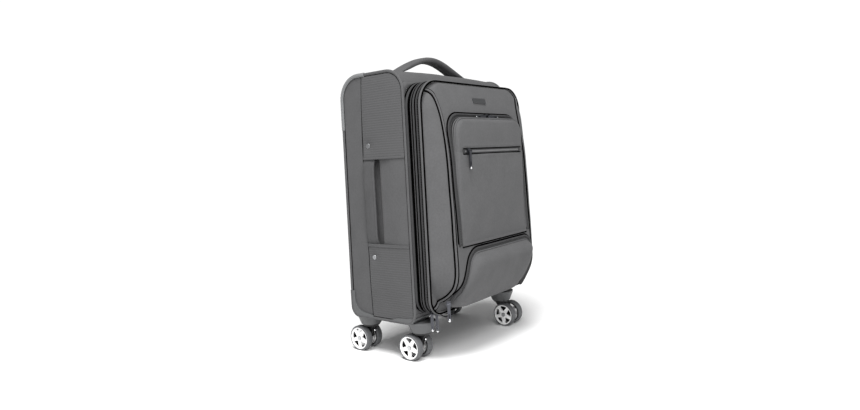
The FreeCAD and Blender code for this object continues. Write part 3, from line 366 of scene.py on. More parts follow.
@dataclass(frozen=True)
class WheelFinish(Finish):
    """Two-shot wheel: a glossy pale core and a soft polyurethane tyre, with painted shade near black between
    its faces.

    The eye sees a bright face with black gaps between its spokes, ringed by a duller grey band; the black of
    the gaps is painted shade.
    """

    name: str
    core: str
    tyre: str
    centre: tuple[float, float]
    tyre_from_mm: float
    face_x: float
    face_mm: float = 4.5
    # Painted shade: the wheel's recessed inner part, its spoke gaps and hub, is coloured near black.
    inside: str = "#0e0e0f"
    scuff_mm: float = 3.0

    def dress(self, tree: bpy.types.NodeTree, shader: bpy.types.Node) -> None:
        """The colour changes at the tyre's inner radius; behind the pale face the core is painted black as
        shade.

        Args:
            tree: The material's node tree.
            shader: Its shader node.
        """
        place = add_node(tree, "ShaderNodeTexCoord").outputs["Object"]
        axes = add_node(tree, "ShaderNodeSeparateXYZ", inputs={0: place}).outputs
        y = add_node(tree, Maths.MINUS, inputs={0: axes["Y"], 1: self.centre[0]})
        z = add_node(tree, Maths.MINUS, inputs={0: axes["Z"], 1: self.centre[1]})
        z_squared = add_node(tree, Maths.TIMES, inputs={0: z, 1: z})
        squared = add_node(tree, Maths.TIMES_PLUS, inputs={0: y, 1: y, 2: z_squared})
        radius = add_node(tree, Maths.ROOT, inputs={0: squared})
        is_tyre = add_node(tree, Maths.ABOVE, inputs={0: radius, 1: self.tyre_from_mm * MM})
        behind = add_node(tree, Maths.MINUS, inputs={0: axes["X"], 1: self.face_x})
        distance = add_node(tree, Maths.SIZE, inputs={0: behind})
        in_shaded_recess = add_node(tree, Maths.ABOVE, inputs={0: distance, 1: self.face_mm * MM})
        scuffs = add_node(tree, "ShaderNodeTexNoise", inputs=grains(place, self.scuff_mm, 3.0))
        pale = shade(tree, self.core, scuffs, 0.04)
        layers = {0: in_shaded_recess, 6: pale, 7: linear(self.inside)}
        core = add_node(tree, "ShaderNodeMix", {"data_type": "RGBA"}, layers).outputs[2]
        layers = {0: is_tyre, 6: core, 7: shade(tree, self.tyre, scuffs, 0.18)}
        whole = add_node(tree, "ShaderNodeMix", {"data_type": "RGBA"}, layers).outputs[2]
        gloss = add_node(tree, "ShaderNodeMapRange", inputs={0: is_tyre, 3: 0.28, 4: 0.62})
        tree.links.new(whole, shader.inputs["Base Color"])
        tree.links.new(gloss.outputs[0], shader.inputs["Roughness"])


# Coated polyester of the panels: matt mid grey with a faint grain, flat ones a touch darker.
PANEL_CLOTH = Cloth("charcoal_polyester", "#4f4f50")
LID_CLOTH = Cloth("charcoal_polyester_padded", "#515152")
# Woven-in cords give the side patches their level ribs; real ones lie 1.5 mm apart, too fine to show.
RIBBED_CLOTH = Cloth("ribbed_polyester", "#4d4d4e", rib_mm=4.4, relief_mm=0.22, mottled=0.05)
# Webbing: coarser and darker than the panels.
STRAP_CLOTH = Cloth("webbing_charcoal", "#474748", thread_mm=2.2, relief_mm=0.3)
# Bias-cut cloth round cords, and a paler rubbed binding where the corners wear.
PIPING_CLOTH = Cloth("bias_piping_charcoal", "#505051", thread_mm=1.2)
BINDING_CLOTH = Cloth("corner_binding_grey", "#747576", thread_mm=1.2, mottled=0.04)
# Painted shade: the shade in seams, grooves and crevices is drawn as dull black cloth, as dark as the crevice
# that a real seam lies in.
SEAM_SHADE_CLOTH = Cloth("painted_seam_shade_black", "#030303", thread_mm=1.2, relief_mm=0.1, sheen=0.0, gloss=0.0)
TAPE_CLOTH = Cloth("zipper_tape_grey", "#343435", thread_mm=1.0, relief_mm=0.2)
# Thin lining taffeta: darker and a little silkier than the outside.
LINING_CLOTH = Cloth("lining_polyester", "#2b2c2f", thread_mm=2.6, relief_mm=0.1, sheen=0.2)
THREAD = Cloth("sewing_thread_grey", "#3c3c3d", thread_mm=0.8)
# Nylon coils glint along each tooth; the straight zipper's are undyed and paler.
COIL = Moulding("nylon_coil_charcoal", "#2e2e2f", 0.45)
PALE_COIL = Moulding("nylon_coil_grey", "#6a6a6b", 0.4)
# Caster housings in satin ABS over black glass-filled forks; grip and button are smoother.
HOUSING = Moulding("moulded_abs_grey", "#525354", 0.46)
FORK = Moulding("moulded_nylon_black", "#0d0d0e", 0.42)
GRIP = Moulding("moulded_grip_black", "#232324", 0.5)
BUTTON = Moulding("button_gloss_black", "#101011", 0.2, relief_mm=0.01)
# Plated castings: smoky gunmetal on the pulls, near white on their beads and the screws.
PULL_METAL = CastMetal("gunmetal_zinc", "#54555a", 0.34)
BRIGHT_METAL = CastMetal("nickel_bright", "#e6e7e8", 0.18)
BADGE_METAL = CastMetal("satin_nickel_plate", "#8a8b8d", 0.34)
RIVET_METAL = CastMetal("burnished_steel", "#9fa0a2", 0.3)
# Drawn aluminium shows fine lengthwise streaks; the axles are plain zinc-plated steel.
TUBE_METAL = CastMetal("anodised_aluminium", "#a9acb0", 0.32, brushed=True)
AXLE_METAL = CastMetal("zinc_plated_steel", "#c4c5c6", 0.28)


# ---------------------------------------------------------------- shapes
class Shape:
    """Points in millimetres and faces, each face with the number of its finish."""

    def __init__(self) -> None:
        """Starts empty."""
        self.points: list[Vector] = []
        self.faces: list[tuple[int, ...]] = []
        self.kinds: list[int] = []

    def add(self, other: "Shape", kind: Optional[int] = None) -> "Shape":
        """Takes another shape in.

        Args:
            other: The shape to add.
            kind: Finish number for its faces, or None to keep theirs.

        Returns:
            This shape.
        """
        start = len(self.points)
        self.points += other.points
        self.faces += [tuple(i + start for i in face) for face in other.faces]
        self.kinds += other.kinds if kind is None else [kind] * len(other.faces)
        return self

    def to_object(self, name: str, finishes: Sequence[Finish], body: str, slot: str) -> bpy.types.Object:
        """Makes the mesh, turns its faces outwards and sets it on a body.

        Args:
            name: Name of the piece.
            finishes: Finishes by number.
            body: The frame's body that it rides on.
            slot: The record's material slot; not used.

        Returns:
            The new object.
        """
        mesh = bpy.data.meshes.new(name)
        mesh.from_pydata([p * MM for p in self.points], [], self.faces)
        for finish in finishes:
            mesh.materials.append(finish.material())
        for polygon, kind in zip(mesh.polygons, self.kinds):
            polygon.material_index = kind
            polygon.use_smooth = True
        work = bmesh.new()
        work.from_mesh(mesh)
        bmesh.ops.recalc_face_normals(work, faces=work.faces)
        work.to_mesh(mesh)
        work.free()
        piece = bpy.data.objects.new(name, mesh)
        bpy.context.scene.collection.objects.link(piece)
        if body:
            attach(piece, body)
        LOG.info("%s: %d faces on %s", name, len(mesh.polygons), body)
        return piece


@dataclass(frozen=True)
class Station:
    """One place along a path: where it is, its sideways direction and its outward direction."""

    point: Vector
    side: Vector
    out: Vector


def loft(rings: Sequence[Sequence[Vector]], closed: bool) -> Shape:
    """Joins rings of points one after another.

    Args:
        rings: Rings of equally many points, in order along the shape.
        closed: True where the last ring meets the first; both ends are capped otherwise.

    Returns:
        A closed shape.
    """
    shape = Shape()
    size, count = len(rings[0]), len(rings)
    for ring in rings:
        shape.points += ring
    for i in range(count if closed else count - 1):
        here = i * size
        after = ((i + 1) % count) * size
        for k in range(size):
            nxt = (k + 1) % size
            shape.faces.append((here + k, here + nxt, after + nxt, after + k))
    if not closed:
        shape.faces.append(tuple(range(size)))
        shape.faces.append(tuple(range((count - 1) * size, count * size)))
    shape.kinds = [0] * len(shape.faces)
    return shape


def sweep(stations: Sequence[Station], section: Sequence[tuple[float, float]], closed: bool) -> Shape:
    """Runs a closed section along a path.

    Args:
        stations: The path.
        section: (sideways, outward) points of the section, in order round it.
        closed: True where the path's end meets its start.

    Returns:
        A closed shape.
    """
    return loft([[s.point + s.side * a + s.out * b for a, b in section] for s in stations], closed)


def round_section(
    radius: float, count: int = 6, lift: float = 0.0, offset: float = 0.0
) -> list[tuple[float, float]]:
    """A circle as a section, its centre lifted outwards and moved sideways."""
    spokes = [TURN * i / count for i in range(count)]
    return [(offset + radius * math.cos(t), lift + radius * math.sin(t)) for t in spokes]


def strip_section(width: float, height: float, crown: float = 0.0) -> list[tuple[float, float]]:
    """A flat strip as a section: its underside sits at zero, its top is crowned, its edges are eased.

    Args:
        width: Across the strip.
        height: Its thickness.
        crown: How far its middle rises above its edges.

    Returns:
        Points in order round it.
    """
    half = width / 2
    ease = min(height, half) * 0.35
    top = [(-half + ease, height)]
    top += [(half * t, height + crown * (1 - t * t)) for t in (-0.5, 0.0, 0.5)] if crown else []
    top += [(half - ease, height)]
    return [(-half, 0.0), (-half, height - ease)] + top + [(half, height - ease), (half, 0.0)]


class Outline:
    """A closed outline with rounded corners in a panel's two axes (a, b)."""

    def __init__(
        self, corners: Sequence[tuple[float, float]], radii: Sequence[float], steps: int = 10
    ) -> None:
        """Rounds the corners, which run counter-clockwise, and prepares distance queries.

        Args:
            corners: The sharp corners.
            radii: Radius at each corner.
            steps: Pieces that each arc is drawn with.
        """
        self.points: list[Vector] = []
        for i, corner in enumerate(corners):
            here = Vector(corner)
            back = (Vector(corners[i - 1]) - here).normalized()
            ahead = (Vector(corners[(i + 1) % len(corners)]) - here).normalized()
            if radii[i] <= 0:
                self.points.append(here)
                continue
            half = back.angle(ahead) / 2
            centre = here + (back + ahead).normalized() * radii[i] / math.sin(half)
            first = here + back * radii[i] / math.tan(half) - centre
            sweep_angle = math.pi - 2 * half
            cross = back.x * ahead.y - back.y * ahead.x
            sign = -1.0 if cross > 0 else 1.0
            for k in range(steps + 1):
                angle = sign * sweep_angle * k / steps
                turned = Vector((
                    first.x * math.cos(angle) - first.y * math.sin(angle),
                    first.x * math.sin(angle) + first.y * math.cos(angle),
                ))
                self.points.append(centre + turned)
        self.low = min(p.y for p in self.points)
        self.high = max(p.y for p in self.points)
        samples = [p for p, _ in self.ring(1.0)]
        self.tree = kdtree.KDTree(len(samples))
        for i, sample in enumerate(samples):
            self.tree.insert((sample.x, sample.y, 0.0), i)
        self.tree.balance()

    def span(self, b: float) -> tuple[float, float]:
        """The outline's two a values at a height b.

        Args:
            b: Height.

        Returns:
            The left and the right value.
        """
        b = min(max(b, self.low + 1e-4), self.high - 1e-4)
        hits = []
        for i, end in enumerate(self.points):
            start = self.points[i - 1]
            if (start.y <= b) != (end.y <= b):
                hits.append(start.x + (end.x - start.x) * (b - start.y) / (end.y - start.y))
        return min(hits), max(hits)

    def inside(self, a: float, b: float) -> float:
        """Distance from a point to the outline."""
        return self.tree.find((a, b, 0.0))[2]

    def ring(self, spacing: float, grow: float = 0.0) -> list[tuple[Vector, Vector]]:
        """Evenly spaced points round the outline with their outward normals.

        Args:
            spacing: Distance between points.
            grow: How far outside the outline the points lie.

        Returns:
            (point, normal) pairs, counter-clockwise.
        """
        loop = self.points + [self.points[0]]
        lengths = [0.0]
        for start, end in zip(loop, loop[1:]):
            lengths.append(lengths[-1] + (end - start).length)
        count = max(int(lengths[-1] / spacing), 12)
        spots = []
        k = 0
        for i in range(count):
            target = lengths[-1] * i / count
            while lengths[k + 1] < target:
                k += 1
            run = lengths[k + 1] - lengths[k]
            t = (target - lengths[k]) / run if run else 0.0
            spots.append(loop[k].lerp(loop[k + 1], t))
        ring = []
        for i, spot in enumerate(spots):
            along = (spots[(i + 1) % count] - spots[i - 1]).normalized()
            normal = Vector((along.y, -along.x))
            ring.append((spot + normal * grow, normal))
        return ring


@dataclass
class Sheet:
    """A padded sheet over an outline, with an outer face, an inner face and an edge between them."""

    outline: Outline
    place: Callable[[float, float, float], Vector]
    outer: Callable[[float, float], float]
    inner: Callable[[float, float], float]
    columns: int = 48
    rows: int = 80

    def shape(self) -> Shape:
        """Makes the closed sheet; its inner face is finish 1.

        Returns:
            The closed sheet.
        """
        shape = Shape()
        heights = spread(self.outline.low, self.outline.high, self.rows)
        wide = self.columns + 1
        for surface in (self.outer, self.inner):
            for b in heights:
                left, right = self.outline.span(b)
                for a in spread(left, right, self.columns):
                    shape.points.append(self.place(a, b, surface(a, b)))
        layer = wide * len(heights)
        for offset, kind in ((0, 0), (layer, 1)):
            for j in range(len(heights) - 1):
                for i in range(self.columns):
                    k = offset + j * wide + i
                    shape.faces.append((k, k + 1, k + wide + 1, k + wide))
                    shape.kinds.append(kind)
        for start, end in self._border(wide, len(heights)):
            shape.faces.append((start, end, end + layer, start + layer))
            shape.kinds.append(0)
        return shape

    @staticmethod
    def _border(wide: int, tall: int) -> list[tuple[int, int]]:
        """Edges round the grid, as pairs of point numbers.

        Args:
            wide: Points across.
            tall: Points up.

        Returns:
            The edges, in order.
        """
        bottom = [(i, i + 1) for i in range(wide - 1)]
        top = [((tall - 1) * wide + i, (tall - 1) * wide + i + 1) for i in range(wide - 1)]
        left = [(j * wide, (j + 1) * wide) for j in range(tall - 1)]
        right = [(j * wide + wide - 1, (j + 1) * wide + wide - 1) for j in range(tall - 1)]
        return bottom + top + left + right


def shell_of(
    wide: int,
    tall: int,
    place: Callable[[int, int, int], Vector],
    keep: Callable[[int, int], bool],
) -> Shape:
    """A closed shell over a grid, with walls round its border and round any cells left out.

    Args:
        wide: Points across.
        tall: Points up.
        place: Gives a point for a column, a row and a layer (0 outside, 1 inside).
        keep: Says whether the cell above and right of a point is there.

    Returns:
        The shell; its inside is finish 1.
    """
    shape = Shape()
    for layer in (0, 1):
        for j in range(tall):
            for i in range(wide):
                shape.points.append(place(i, j, layer))
    step = wide * tall
    edges: dict[tuple[int, int], int] = {}
    for j in range(tall - 1):
        for i in range(wide - 1):
            if not keep(i, j):
                continue
            k = j * wide + i
            cell = (k, k + 1, k + wide + 1, k + wide)
            shape.faces.append(cell)
            shape.faces.append(tuple(p + step for p in reversed(cell)))
            shape.kinds += [0, 1]
            for start, end in zip(cell, cell[1:] + cell[:1]):
                key = (min(start, end), max(start, end))
                edges[key] = edges.get(key, 0) + 1
    for (start, end), uses in edges.items():
        if uses == 1:
            shape.faces.append((start, end, end + step, start + step))
            shape.kinds.append(0)
    used = sorted({i for face in shape.faces for i in face})
    renumbered = {old: new for new, old in enumerate(used)}
    shape.points = [shape.points[i] for i in used]
    shape.faces = [tuple(renumbered[i] for i in face) for face in shape.faces]
    return shape


# ---------------------------------------------------------------- repeated small pieces
class Repeated(Enum):
    """What a row of small pieces is made of."""

    TOOTH = "tooth"
    STITCH = "stitch"
    STUD = "stud"


@dataclass(frozen=True)
class Row:
    """A row of small pieces along a path, set out by a geometry-node tree."""

    kind: Repeated
    length: float
    width: float
    height: float
    jitter: float = 0.0
    seed: int = 7

    def tree(self) -> bpy.types.GeometryNodeTree:
        """Builds the tree once for each kind: one piece at every point, turned along the path.

        Returns:
            The node tree.
        """
        name = "row_of_" + self.kind.value
        found = bpy.data.node_groups.get(name)
        if found:
            return found
        tree = bpy.data.node_groups.new(name, "GeometryNodeTree")
        tree.interface.new_socket("Path", in_out="INPUT", socket_type="NodeSocketGeometry")
        for label in ("Length", "Width", "Height", "Jitter"):
            tree.interface.new_socket(label, in_out="INPUT", socket_type="NodeSocketFloat")
        tree.interface.new_socket("Seed", in_out="INPUT", socket_type="NodeSocketInt")
        tree.interface.new_socket("Finish", in_out="INPUT", socket_type="NodeSocketMaterial")
        tree.interface.new_socket("Row", in_out="OUTPUT", socket_type="NodeSocketGeometry")
        given = add_node(tree, "NodeGroupInput").outputs
        sides = {0: given["Length"], 1: given["Width"], 2: given["Height"]}
        size = add_node(tree, "ShaderNodeCombineXYZ", inputs=sides)
        if self.kind is Repeated.TOOTH:
            piece = add_node(tree, "GeometryNodeMeshCube")
        else:
            segments, rings = (6, 4) if self.kind is Repeated.STITCH else (16, 8)
            ball = {"Segments": segments, "Rings": rings, "Radius": 0.5}
            piece = add_node(tree, "GeometryNodeMeshUVSphere", inputs=ball)
        sized = add_node(tree, "GeometryNodeTransform", inputs={"Geometry": piece, "Scale": size})
        vectors = {"data_type": "FLOAT_VECTOR"}
        along = add_node(tree, "GeometryNodeInputNamedAttribute", vectors, {"Name": "along"})
        out = add_node(tree, "GeometryNodeInputNamedAttribute", vectors, {"Name": "out"})
        align = "FunctionNodeAlignRotationToVector"
        level = add_node(tree, align, {"axis": "X"}, {"Vector": along})
        turned = {"Rotation": level, "Vector": out}
        upright = add_node(tree, align, {"axis": "Z", "pivot_axis": "X"}, turned)
        least = add_node(tree, Maths.MINUS, inputs={0: 1.0, 1: given["Jitter"]})
        most = add_node(tree, Maths.PLUS, inputs={0: 1.0, 1: given["Jitter"]})
        scale = add_node(tree, "FunctionNodeRandomValue", {"data_type": "FLOAT"})
        floats = [s for s in scale.inputs if s.enabled]
        tree.links.new(least.outputs[0], floats[0])
        tree.links.new(most.outputs[0], floats[1])
        tree.links.new(given["Seed"], scale.inputs["Seed"])
        chosen = [s for s in scale.outputs if s.enabled][0]
        points = {"Points": given["Path"], "Instance": sized, "Rotation": upright, "Scale": chosen}
        rows = add_node(tree, "GeometryNodeInstanceOnPoints", inputs=points)
        real = add_node(tree, "GeometryNodeRealizeInstances", inputs={0: rows})
        dressed = {"Geometry": real, "Material": given["Finish"]}
        done = add_node(tree, "GeometryNodeSetMaterial", inputs=dressed)
        add_node(tree, "NodeGroupOutput", inputs={0: done})
        return tree

    def lay(
        self, name: str, stations: Sequence[Station], finish: Finish, body: str, slot: str
    ) -> bpy.types.Object:
        """Sets the pieces along a path and returns them as one plain mesh.

        Args:
            name: Name of the piece.
            stations: One place for each small piece.
            finish: Its finish.
            body: The frame's body that it rides on.
            slot: The record's material slot; not used.

        Returns:
            The new object.
        """
        mesh = bpy.data.meshes.new(name)
        mesh.from_pydata([s.point * MM for s in stations], [], [])
        along = mesh.attributes.new("along", "FLOAT_VECTOR", "POINT")
        out = mesh.attributes.new("out", "FLOAT_VECTOR", "POINT")
        for i, spot in enumerate(stations):
            along.data[i].vector = spot.side.cross(spot.out)
            out.data[i].vector = spot.out
        piece = bpy.data.objects.new(name, mesh)
        bpy.context.scene.collection.objects.link(piece)
        modifier = piece.modifiers.new("row", "NODES")
        tree = self.tree()
        modifier.node_group = tree
        values = {
            "Length": self.length * MM,
            "Width": self.width * MM,
            "Height": self.height * MM,
            "Jitter": self.jitter,
            "Seed": self.seed,
            "Finish": finish.material(),
        }
        for item in tree.interface.items_tree:
            if item.name in values:
                modifier[item.identifier] = values[item.name]
        seen = piece.evaluated_get(bpy.context.evaluated_depsgraph_get())
        plain = bpy.data.meshes.new_from_object(seen)
        piece.modifiers.clear()
        piece.data = plain
        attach(piece, body)
        LOG.info("%s: %d pieces on %s", name, len(stations), body)
        return piece


MAIN_TOOTH = Row(Repeated.TOOTH, 1.5, 3.0, 1.4)
POCKET_TOOTH = Row(Repeated.TOOTH, 1.5, 2.4, 1.2)
WELT_TOOTH = Row(Repeated.TOOTH, 1.4, 3.6, 1.2)
HEM_STITCH = Row(Repeated.STITCH, 2.4, 0.8, 0.8, 0.1)
STRAP_STITCH = Row(Repeated.STITCH, 2.0, 0.7, 0.7, 0.1)
SCREW_HEAD = Row(Repeated.STUD, 4.6, 4.6, 4.0)
PULL_BEAD = Row(Repeated.STUD, 5.2, 3.9, 5.2)
SMALL_BEAD = Row(Repeated.STUD, 3.4, 2.55, 3.4)


# ---------------------------------------------------------------- sizes read off the frame
@dataclass(frozen=True)
class Span:
    """One node's box in millimetres, with depths in place of Y."""

    node: str
    left: float = field(init=False)
    right: float = field(init=False)
    near: float = field(init=False)
    far: float = field(init=False)
    low: float = field(init=False)
    high: float = field(init=False)

    def __post_init__(self) -> None:
        """Reads the box."""
        lo, hi = (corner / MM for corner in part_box(self.node))
        across = {"left": lo.x, "right": hi.x, "low": lo.z, "high": hi.z}
        through = {"near": BACK_Y - hi.y, "far": BACK_Y - lo.y}
        for side, value in (across | through).items():
            object.__setattr__(self, side, value)


BACK_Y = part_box("back_panel")[1].y / MM
FORWARD = Vector((0, -1, 0))
UP = Vector((0, 0, 1))
SIDE = Span("right_side_panel")
HALF = SIDE.right
MOUTH = Span("expander_gusset")
CASE_TAPE = Span("main_zipper_case_side")
LID_TAPE = Span("main_zipper_lid_side")
LID_BACK = Span("lid_shell").near
WALL = 3.0                # foam and cloth of a panel
MOUTH_RADIUS = 30.0       # the mouth's lower corners
MOUTH_TOP_RADIUS = 46.0   # its softer upper corners
SEWN_LIFT = 0.6           # how far a sewn-on piece lies clear of the cloth under it


def front_place(a: float, b: float, depth: float) -> Vector:
    """A point of a front panel: a is X, b is Z."""
    return Vector((a, BACK_Y - depth, b))


def side_place(sign: float) -> Callable[[float, float, float], Vector]:
    """Places a side panel's points: a is the depth, b is Z, and height stands out from the side."""
    return lambda a, b, rise: Vector((sign * (HALF + rise), BACK_Y - a, b))


def mouth_outline(inset: float = 0.0) -> Outline:
    """The zipped mouth and the lid, seen from the front.

    Args:
        inset: How far inside the edge it runs.

    Returns:
        The outline.
    """
    x = HALF - inset
    low, high = MOUTH.low + inset, MOUTH.high - inset
    radii = [MOUTH_RADIUS - inset] * 2 + [MOUTH_TOP_RADIUS - inset] * 2
    return Outline([(-x, low), (x, low), (x, high), (-x, high)], radii)


def front_stations(outline: Outline, spacing: float, depth: float, grow: float = 0.0) -> list[Station]:
    """A closed path round a front outline whose outward direction lies in the panel's plane.

    Args:
        outline: The outline to follow.
        spacing: Distance between stations.
        depth: Depth of the path.
        grow: How far outside the outline it runs.

    Returns:
        Stations in order round the outline.
    """
    spots = []
    for spot, normal in outline.ring(spacing, grow):
        out = Vector((normal.x, 0, normal.y))
        spots.append(Station(front_place(spot.x, spot.y, depth), FORWARD, out))
    return spots


def facing_stations(points: Sequence[Vector], out: Vector) -> list[Station]:
    """A path whose outward direction is the same all along, with its side square to both.

    Args:
        points: The points, in order.
        out: Direction that the path faces.

    Returns:
        One station for each point.
    """
    spots = []
    for i, point in enumerate(points):
        ahead = points[min(i + 1, len(points) - 1)] - points[max(i - 1, 0)]
        side = out.cross(ahead).normalized()
        spots.append(Station(point, side, out))
    return spots


# ---------------------------------------------------------------- the case
@dataclass
class CaseShell:
    """Fabric panels of the case: wrap, side panels, patches, piping and corner bindings."""

    crown_side: float = 4.6
    crown_top: float = 4.5
    crown_back: float = 2.0
    padding_reach: float = 24.0
    side_slack: float = 1.0
    seam_depth: float = 54.0
    seam_valley: float = 1.6
    seam_width: float = 1.8
    scoop: float = 14.0
    scoop_low: float = 221.0
    scoop_high: float = 381.0
    scoop_fade: float = 34.0
    slot_end: tuple[float, float] = (86.0, 95.0)
    dish_end: tuple[float, float] = (88.0, 134.0)
    rivet_inset: float = 26.0
    rivet_dimple: float = 11.0
    strap_depth: float = 68.0
    lean: float = 6.0
    corner_radii: tuple[float, float, float, float] = (20.0, 20.0, 38.0, 44.0)
    hem: float = 6.5
    hem_stitch: float = 5.2
    patch_lift: float = 0.9
    cord: float = 2.9
    binding: float = 3.9
    binding_rib: float = 2.8

    def outline(self, inset: float = 0.0) -> Outline:
        """The case from the side, as (depth, z).

        Args:
            inset: How far inside the edge it runs.

        Returns:
            The outline.
        """
        near, far = SIDE.near + inset, SIDE.far - inset
        low, high = SIDE.low + inset, SIDE.high - inset
        corners = [(near, low), (far, low), (far, high), (near + self.lean, high)]
        return Outline(corners, [r - inset for r in self.corner_radii])

    def seam_at(self, z: float) -> float:
        """Depth of a side panel's upright seam, which leans forwards above the strap."""
        return self.seam_depth + self.lean * smooth_step(z, self.scoop_high, SIDE.high)

    def pillow(self, outline: Outline, a: float, b: float) -> float:
        """How far a side panel's padding stands out at (depth, z).

        Args:
            outline: The side's outline.
            a: Depth.
            b: Height.

        Returns:
            The rise there.
        """
        distance = outline.inside(a, b)
        rise = self.crown_side - slack(a, b, self.side_slack)
        rise *= 1 - math.exp(-distance / self.padding_reach)
        rise *= 0.25 + 0.75 * smooth_step(b, SIDE.low + 22, SIDE.low + 80)
        for z in (self.scoop_low - self.rivet_inset, self.scoop_high + self.rivet_inset):
            near = math.hypot(a - self.strap_depth, b - z)
            rise *= 1 - math.exp(-((near / self.rivet_dimple) ** 2))
        return rise * (0.45 + 0.55 * smooth_step(a, self.seam_depth - 6, self.seam_depth + 14))

    def side_height(self, outline: Outline, a: float, b: float, scooped: bool) -> float:
        """Face of a side panel: padding, the seam's valley and the hollow behind the strap.

        Args:
            outline: The side's outline.
            a: Depth.
            b: Height.
            scooped: True where the strap lies over a hollow.

        Returns:
            The rise there.
        """
        rise = self.pillow(outline, a, b)
        rise -= self.seam_valley * math.exp(-(((a - self.seam_at(b)) / self.seam_width) ** 2))
        if scooped:
            start, fade = self.seam_depth + 1, self.scoop_fade
            slot = smooth_step(a, start, start + 5) * (1 - smooth_step(a, *self.slot_end))
            dish = smooth_step(a, start, start + 7) * (1 - smooth_step(a, *self.dish_end))
            along = smooth_step(b, self.scoop_low - fade, self.scoop_low - 6)
            along *= 1 - smooth_step(b, self.scoop_high + 6, self.scoop_high + fade)
            rise -= self.scoop * (0.75 * slot + 0.25 * dish) * along
        return rise

    def side_panels(self) -> None:
        """Both side panels; the left one is hollowed behind the strap."""
        outline = self.outline()
        for name, sign, scooped in (("left_side_panel", -1.0, True), ("right_side_panel", 1.0, False)):
            outer = lambda a, b, s=scooped: self.side_height(outline, a, b, s)
            inner = lambda a, b, s=scooped: self.side_height(outline, a, b, s) - WALL
            sheet = Sheet(outline, side_place(sign), outer, inner, columns=72, rows=130)
            cloths = [PANEL_CLOTH, LINING_CLOTH]
            piece = sheet.shape().to_object("fabric_" + name, cloths, "case", "panel_fabric")
            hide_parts(name)

    def patches(self) -> None:
        """Ribbed patches over both ends of the strap, hemmed where they stand clear."""
        panel = self.outline()
        near, far = self.seam_depth + 1.5, SIDE.far - 4
        low, high = SIDE.low + 4, SIDE.high - 4
        above = [(near, self.scoop_high), (far, self.scoop_high), (far, high), (near + self.lean, high)]
        below = [(near, low), (far, low), (far, self.scoop_low), (near, self.scoop_low)]
        ends = (
            (Outline(above, [0, 0, 34, 0]), self.scoop_high),
            (Outline(below, [0, 14, 0, 0]), self.scoop_low),
        )
        shape = Shape()
        for outline, hem in ends:
            def outer(a: float, b: float, hem: float = hem) -> float:
                """Face of the patch, thicker along its hem."""
                fold = self.patch_lift * (1 - smooth_step(abs(b - hem), self.hem - 1.5, self.hem))
                return self.pillow(panel, a, b) + self.patch_lift + fold

            inner = lambda a, b: self.pillow(panel, a, b) - self.patch_lift
            shape.add(Sheet(outline, side_place(-1.0), outer, inner, columns=44, rows=70).shape())
        piece = shape.to_object("fabric_side_patches", [RIBBED_CLOTH, LINING_CLOTH], "case", "ribbed_fabric")
        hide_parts("side_patches")
        self.patch_stitches(panel, near, far)

    def patch_stitches(self, panel: Outline, near: float, far: float) -> None:
        """A row of stitches along each hem.

        Args:
            panel: The side panel's outline.
            near: Depth of the rear edge.
            far: Depth of the front edge.
        """
        pitch, margin = 3.2, 3.0
        spots = []
        for z in (self.scoop_high + self.hem_stitch, self.scoop_low - self.hem_stitch):
            for i in range(int((far - near - 2 * margin) / pitch)):
                a = near + margin + i * pitch
                point = side_place(-1.0)(a, z, self.pillow(panel, a, z) + 1.7)
                spots.append(Station(point, UP, Vector((-1, 0, 0))))
        HEM_STITCH.lay("hem_stitches", spots, THREAD, "case", "ribbed_fabric")

    def wrap(self) -> None:
        """Top, back and bottom in one run round the side outline, with a hole for the bezel."""
        bezel = Span("trolley_bezel")
        rows = self.wrap_rows()
        columns = sorted(spread(-HALF + 1, HALF - 1, 44) + [bezel.left + 1, bezel.right - 1])
        top = SIDE.high - 12
        hole_rows = [j for j, (a, b, _) in enumerate(rows) if b > top and bezel.near < a < bezel.far]
        first, last = min(hole_rows), max(hole_rows)

        def place(i: int, j: int, layer: int) -> Vector:
            """Point of a column and row on a layer.

            Args:
                i: Column.
                j: Row.
                layer: 0 outside, 1 inside.

            Returns:
                The point there.
            """
            a, b, normal = rows[j]
            rise = self.wrap_crown(columns[i], a, b) - layer * WALL
            return Vector((columns[i], BACK_Y - (a + normal.x * rise), b + normal.y * rise))

        def keep(i: int, j: int) -> bool:
            """True for cells outside the bezel's hole."""
            across = columns[i] > bezel.left and columns[i + 1] < bezel.right
            return not (across and first <= j < last)

        shape = shell_of(len(columns), len(rows), place, keep)
        piece = shape.to_object("fabric_wrap", [PANEL_CLOTH, LINING_CLOTH], "case", "panel_fabric")
        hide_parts("top_panel", "back_panel", "base_board")
        self.bezel_welt(bezel)

    def wrap_rows(self) -> list[tuple[float, float, Vector]]:
        """Open run of (depth, z, normal) from the mouth's top, back over the case, to its bottom.

        Returns:
            The run, in order.
        """
        ring = self.outline().ring(3.0)
        start = min(range(len(ring)), key=lambda k: (ring[k][0] - Vector((SIDE.far, MOUTH.high))).length)
        run = []
        behind = False
        for k in range(len(ring)):
            spot, normal = ring[(start + k) % len(ring)]
            run.append((spot.x, spot.y, normal))
            behind = behind or spot.x < SIDE.far / 2
            if behind and spot.x > SIDE.far - 0.4:
                break
        return run

    def wrap_crown(self, x: float, a: float, b: float) -> float:
        """How far the wrap's padding stands out: most on the top in front of the trolley's bezel.

        Args:
            x: Distance to the right of the middle.
            a: Depth.
            b: Height.

        Returns:
            The rise there.
        """
        edge = (1 - abs(x / HALF) ** 2.6) * (1 - slack(x, a + b, 0.25))
        top = smooth_step(b, SIDE.high - 14, SIDE.high)
        top = top * smooth_step(a, 66, 92) * (1 - smooth_step(a, 138, 158))
        back = smooth_step(16 - a, 0, 14) * smooth_step(b, SIDE.low + 30, SIDE.low + 90)
        back *= 1 - smooth_step(b, 460, 500)
        return max(edge, 0.0) * (self.crown_top * top + self.crown_back * back)

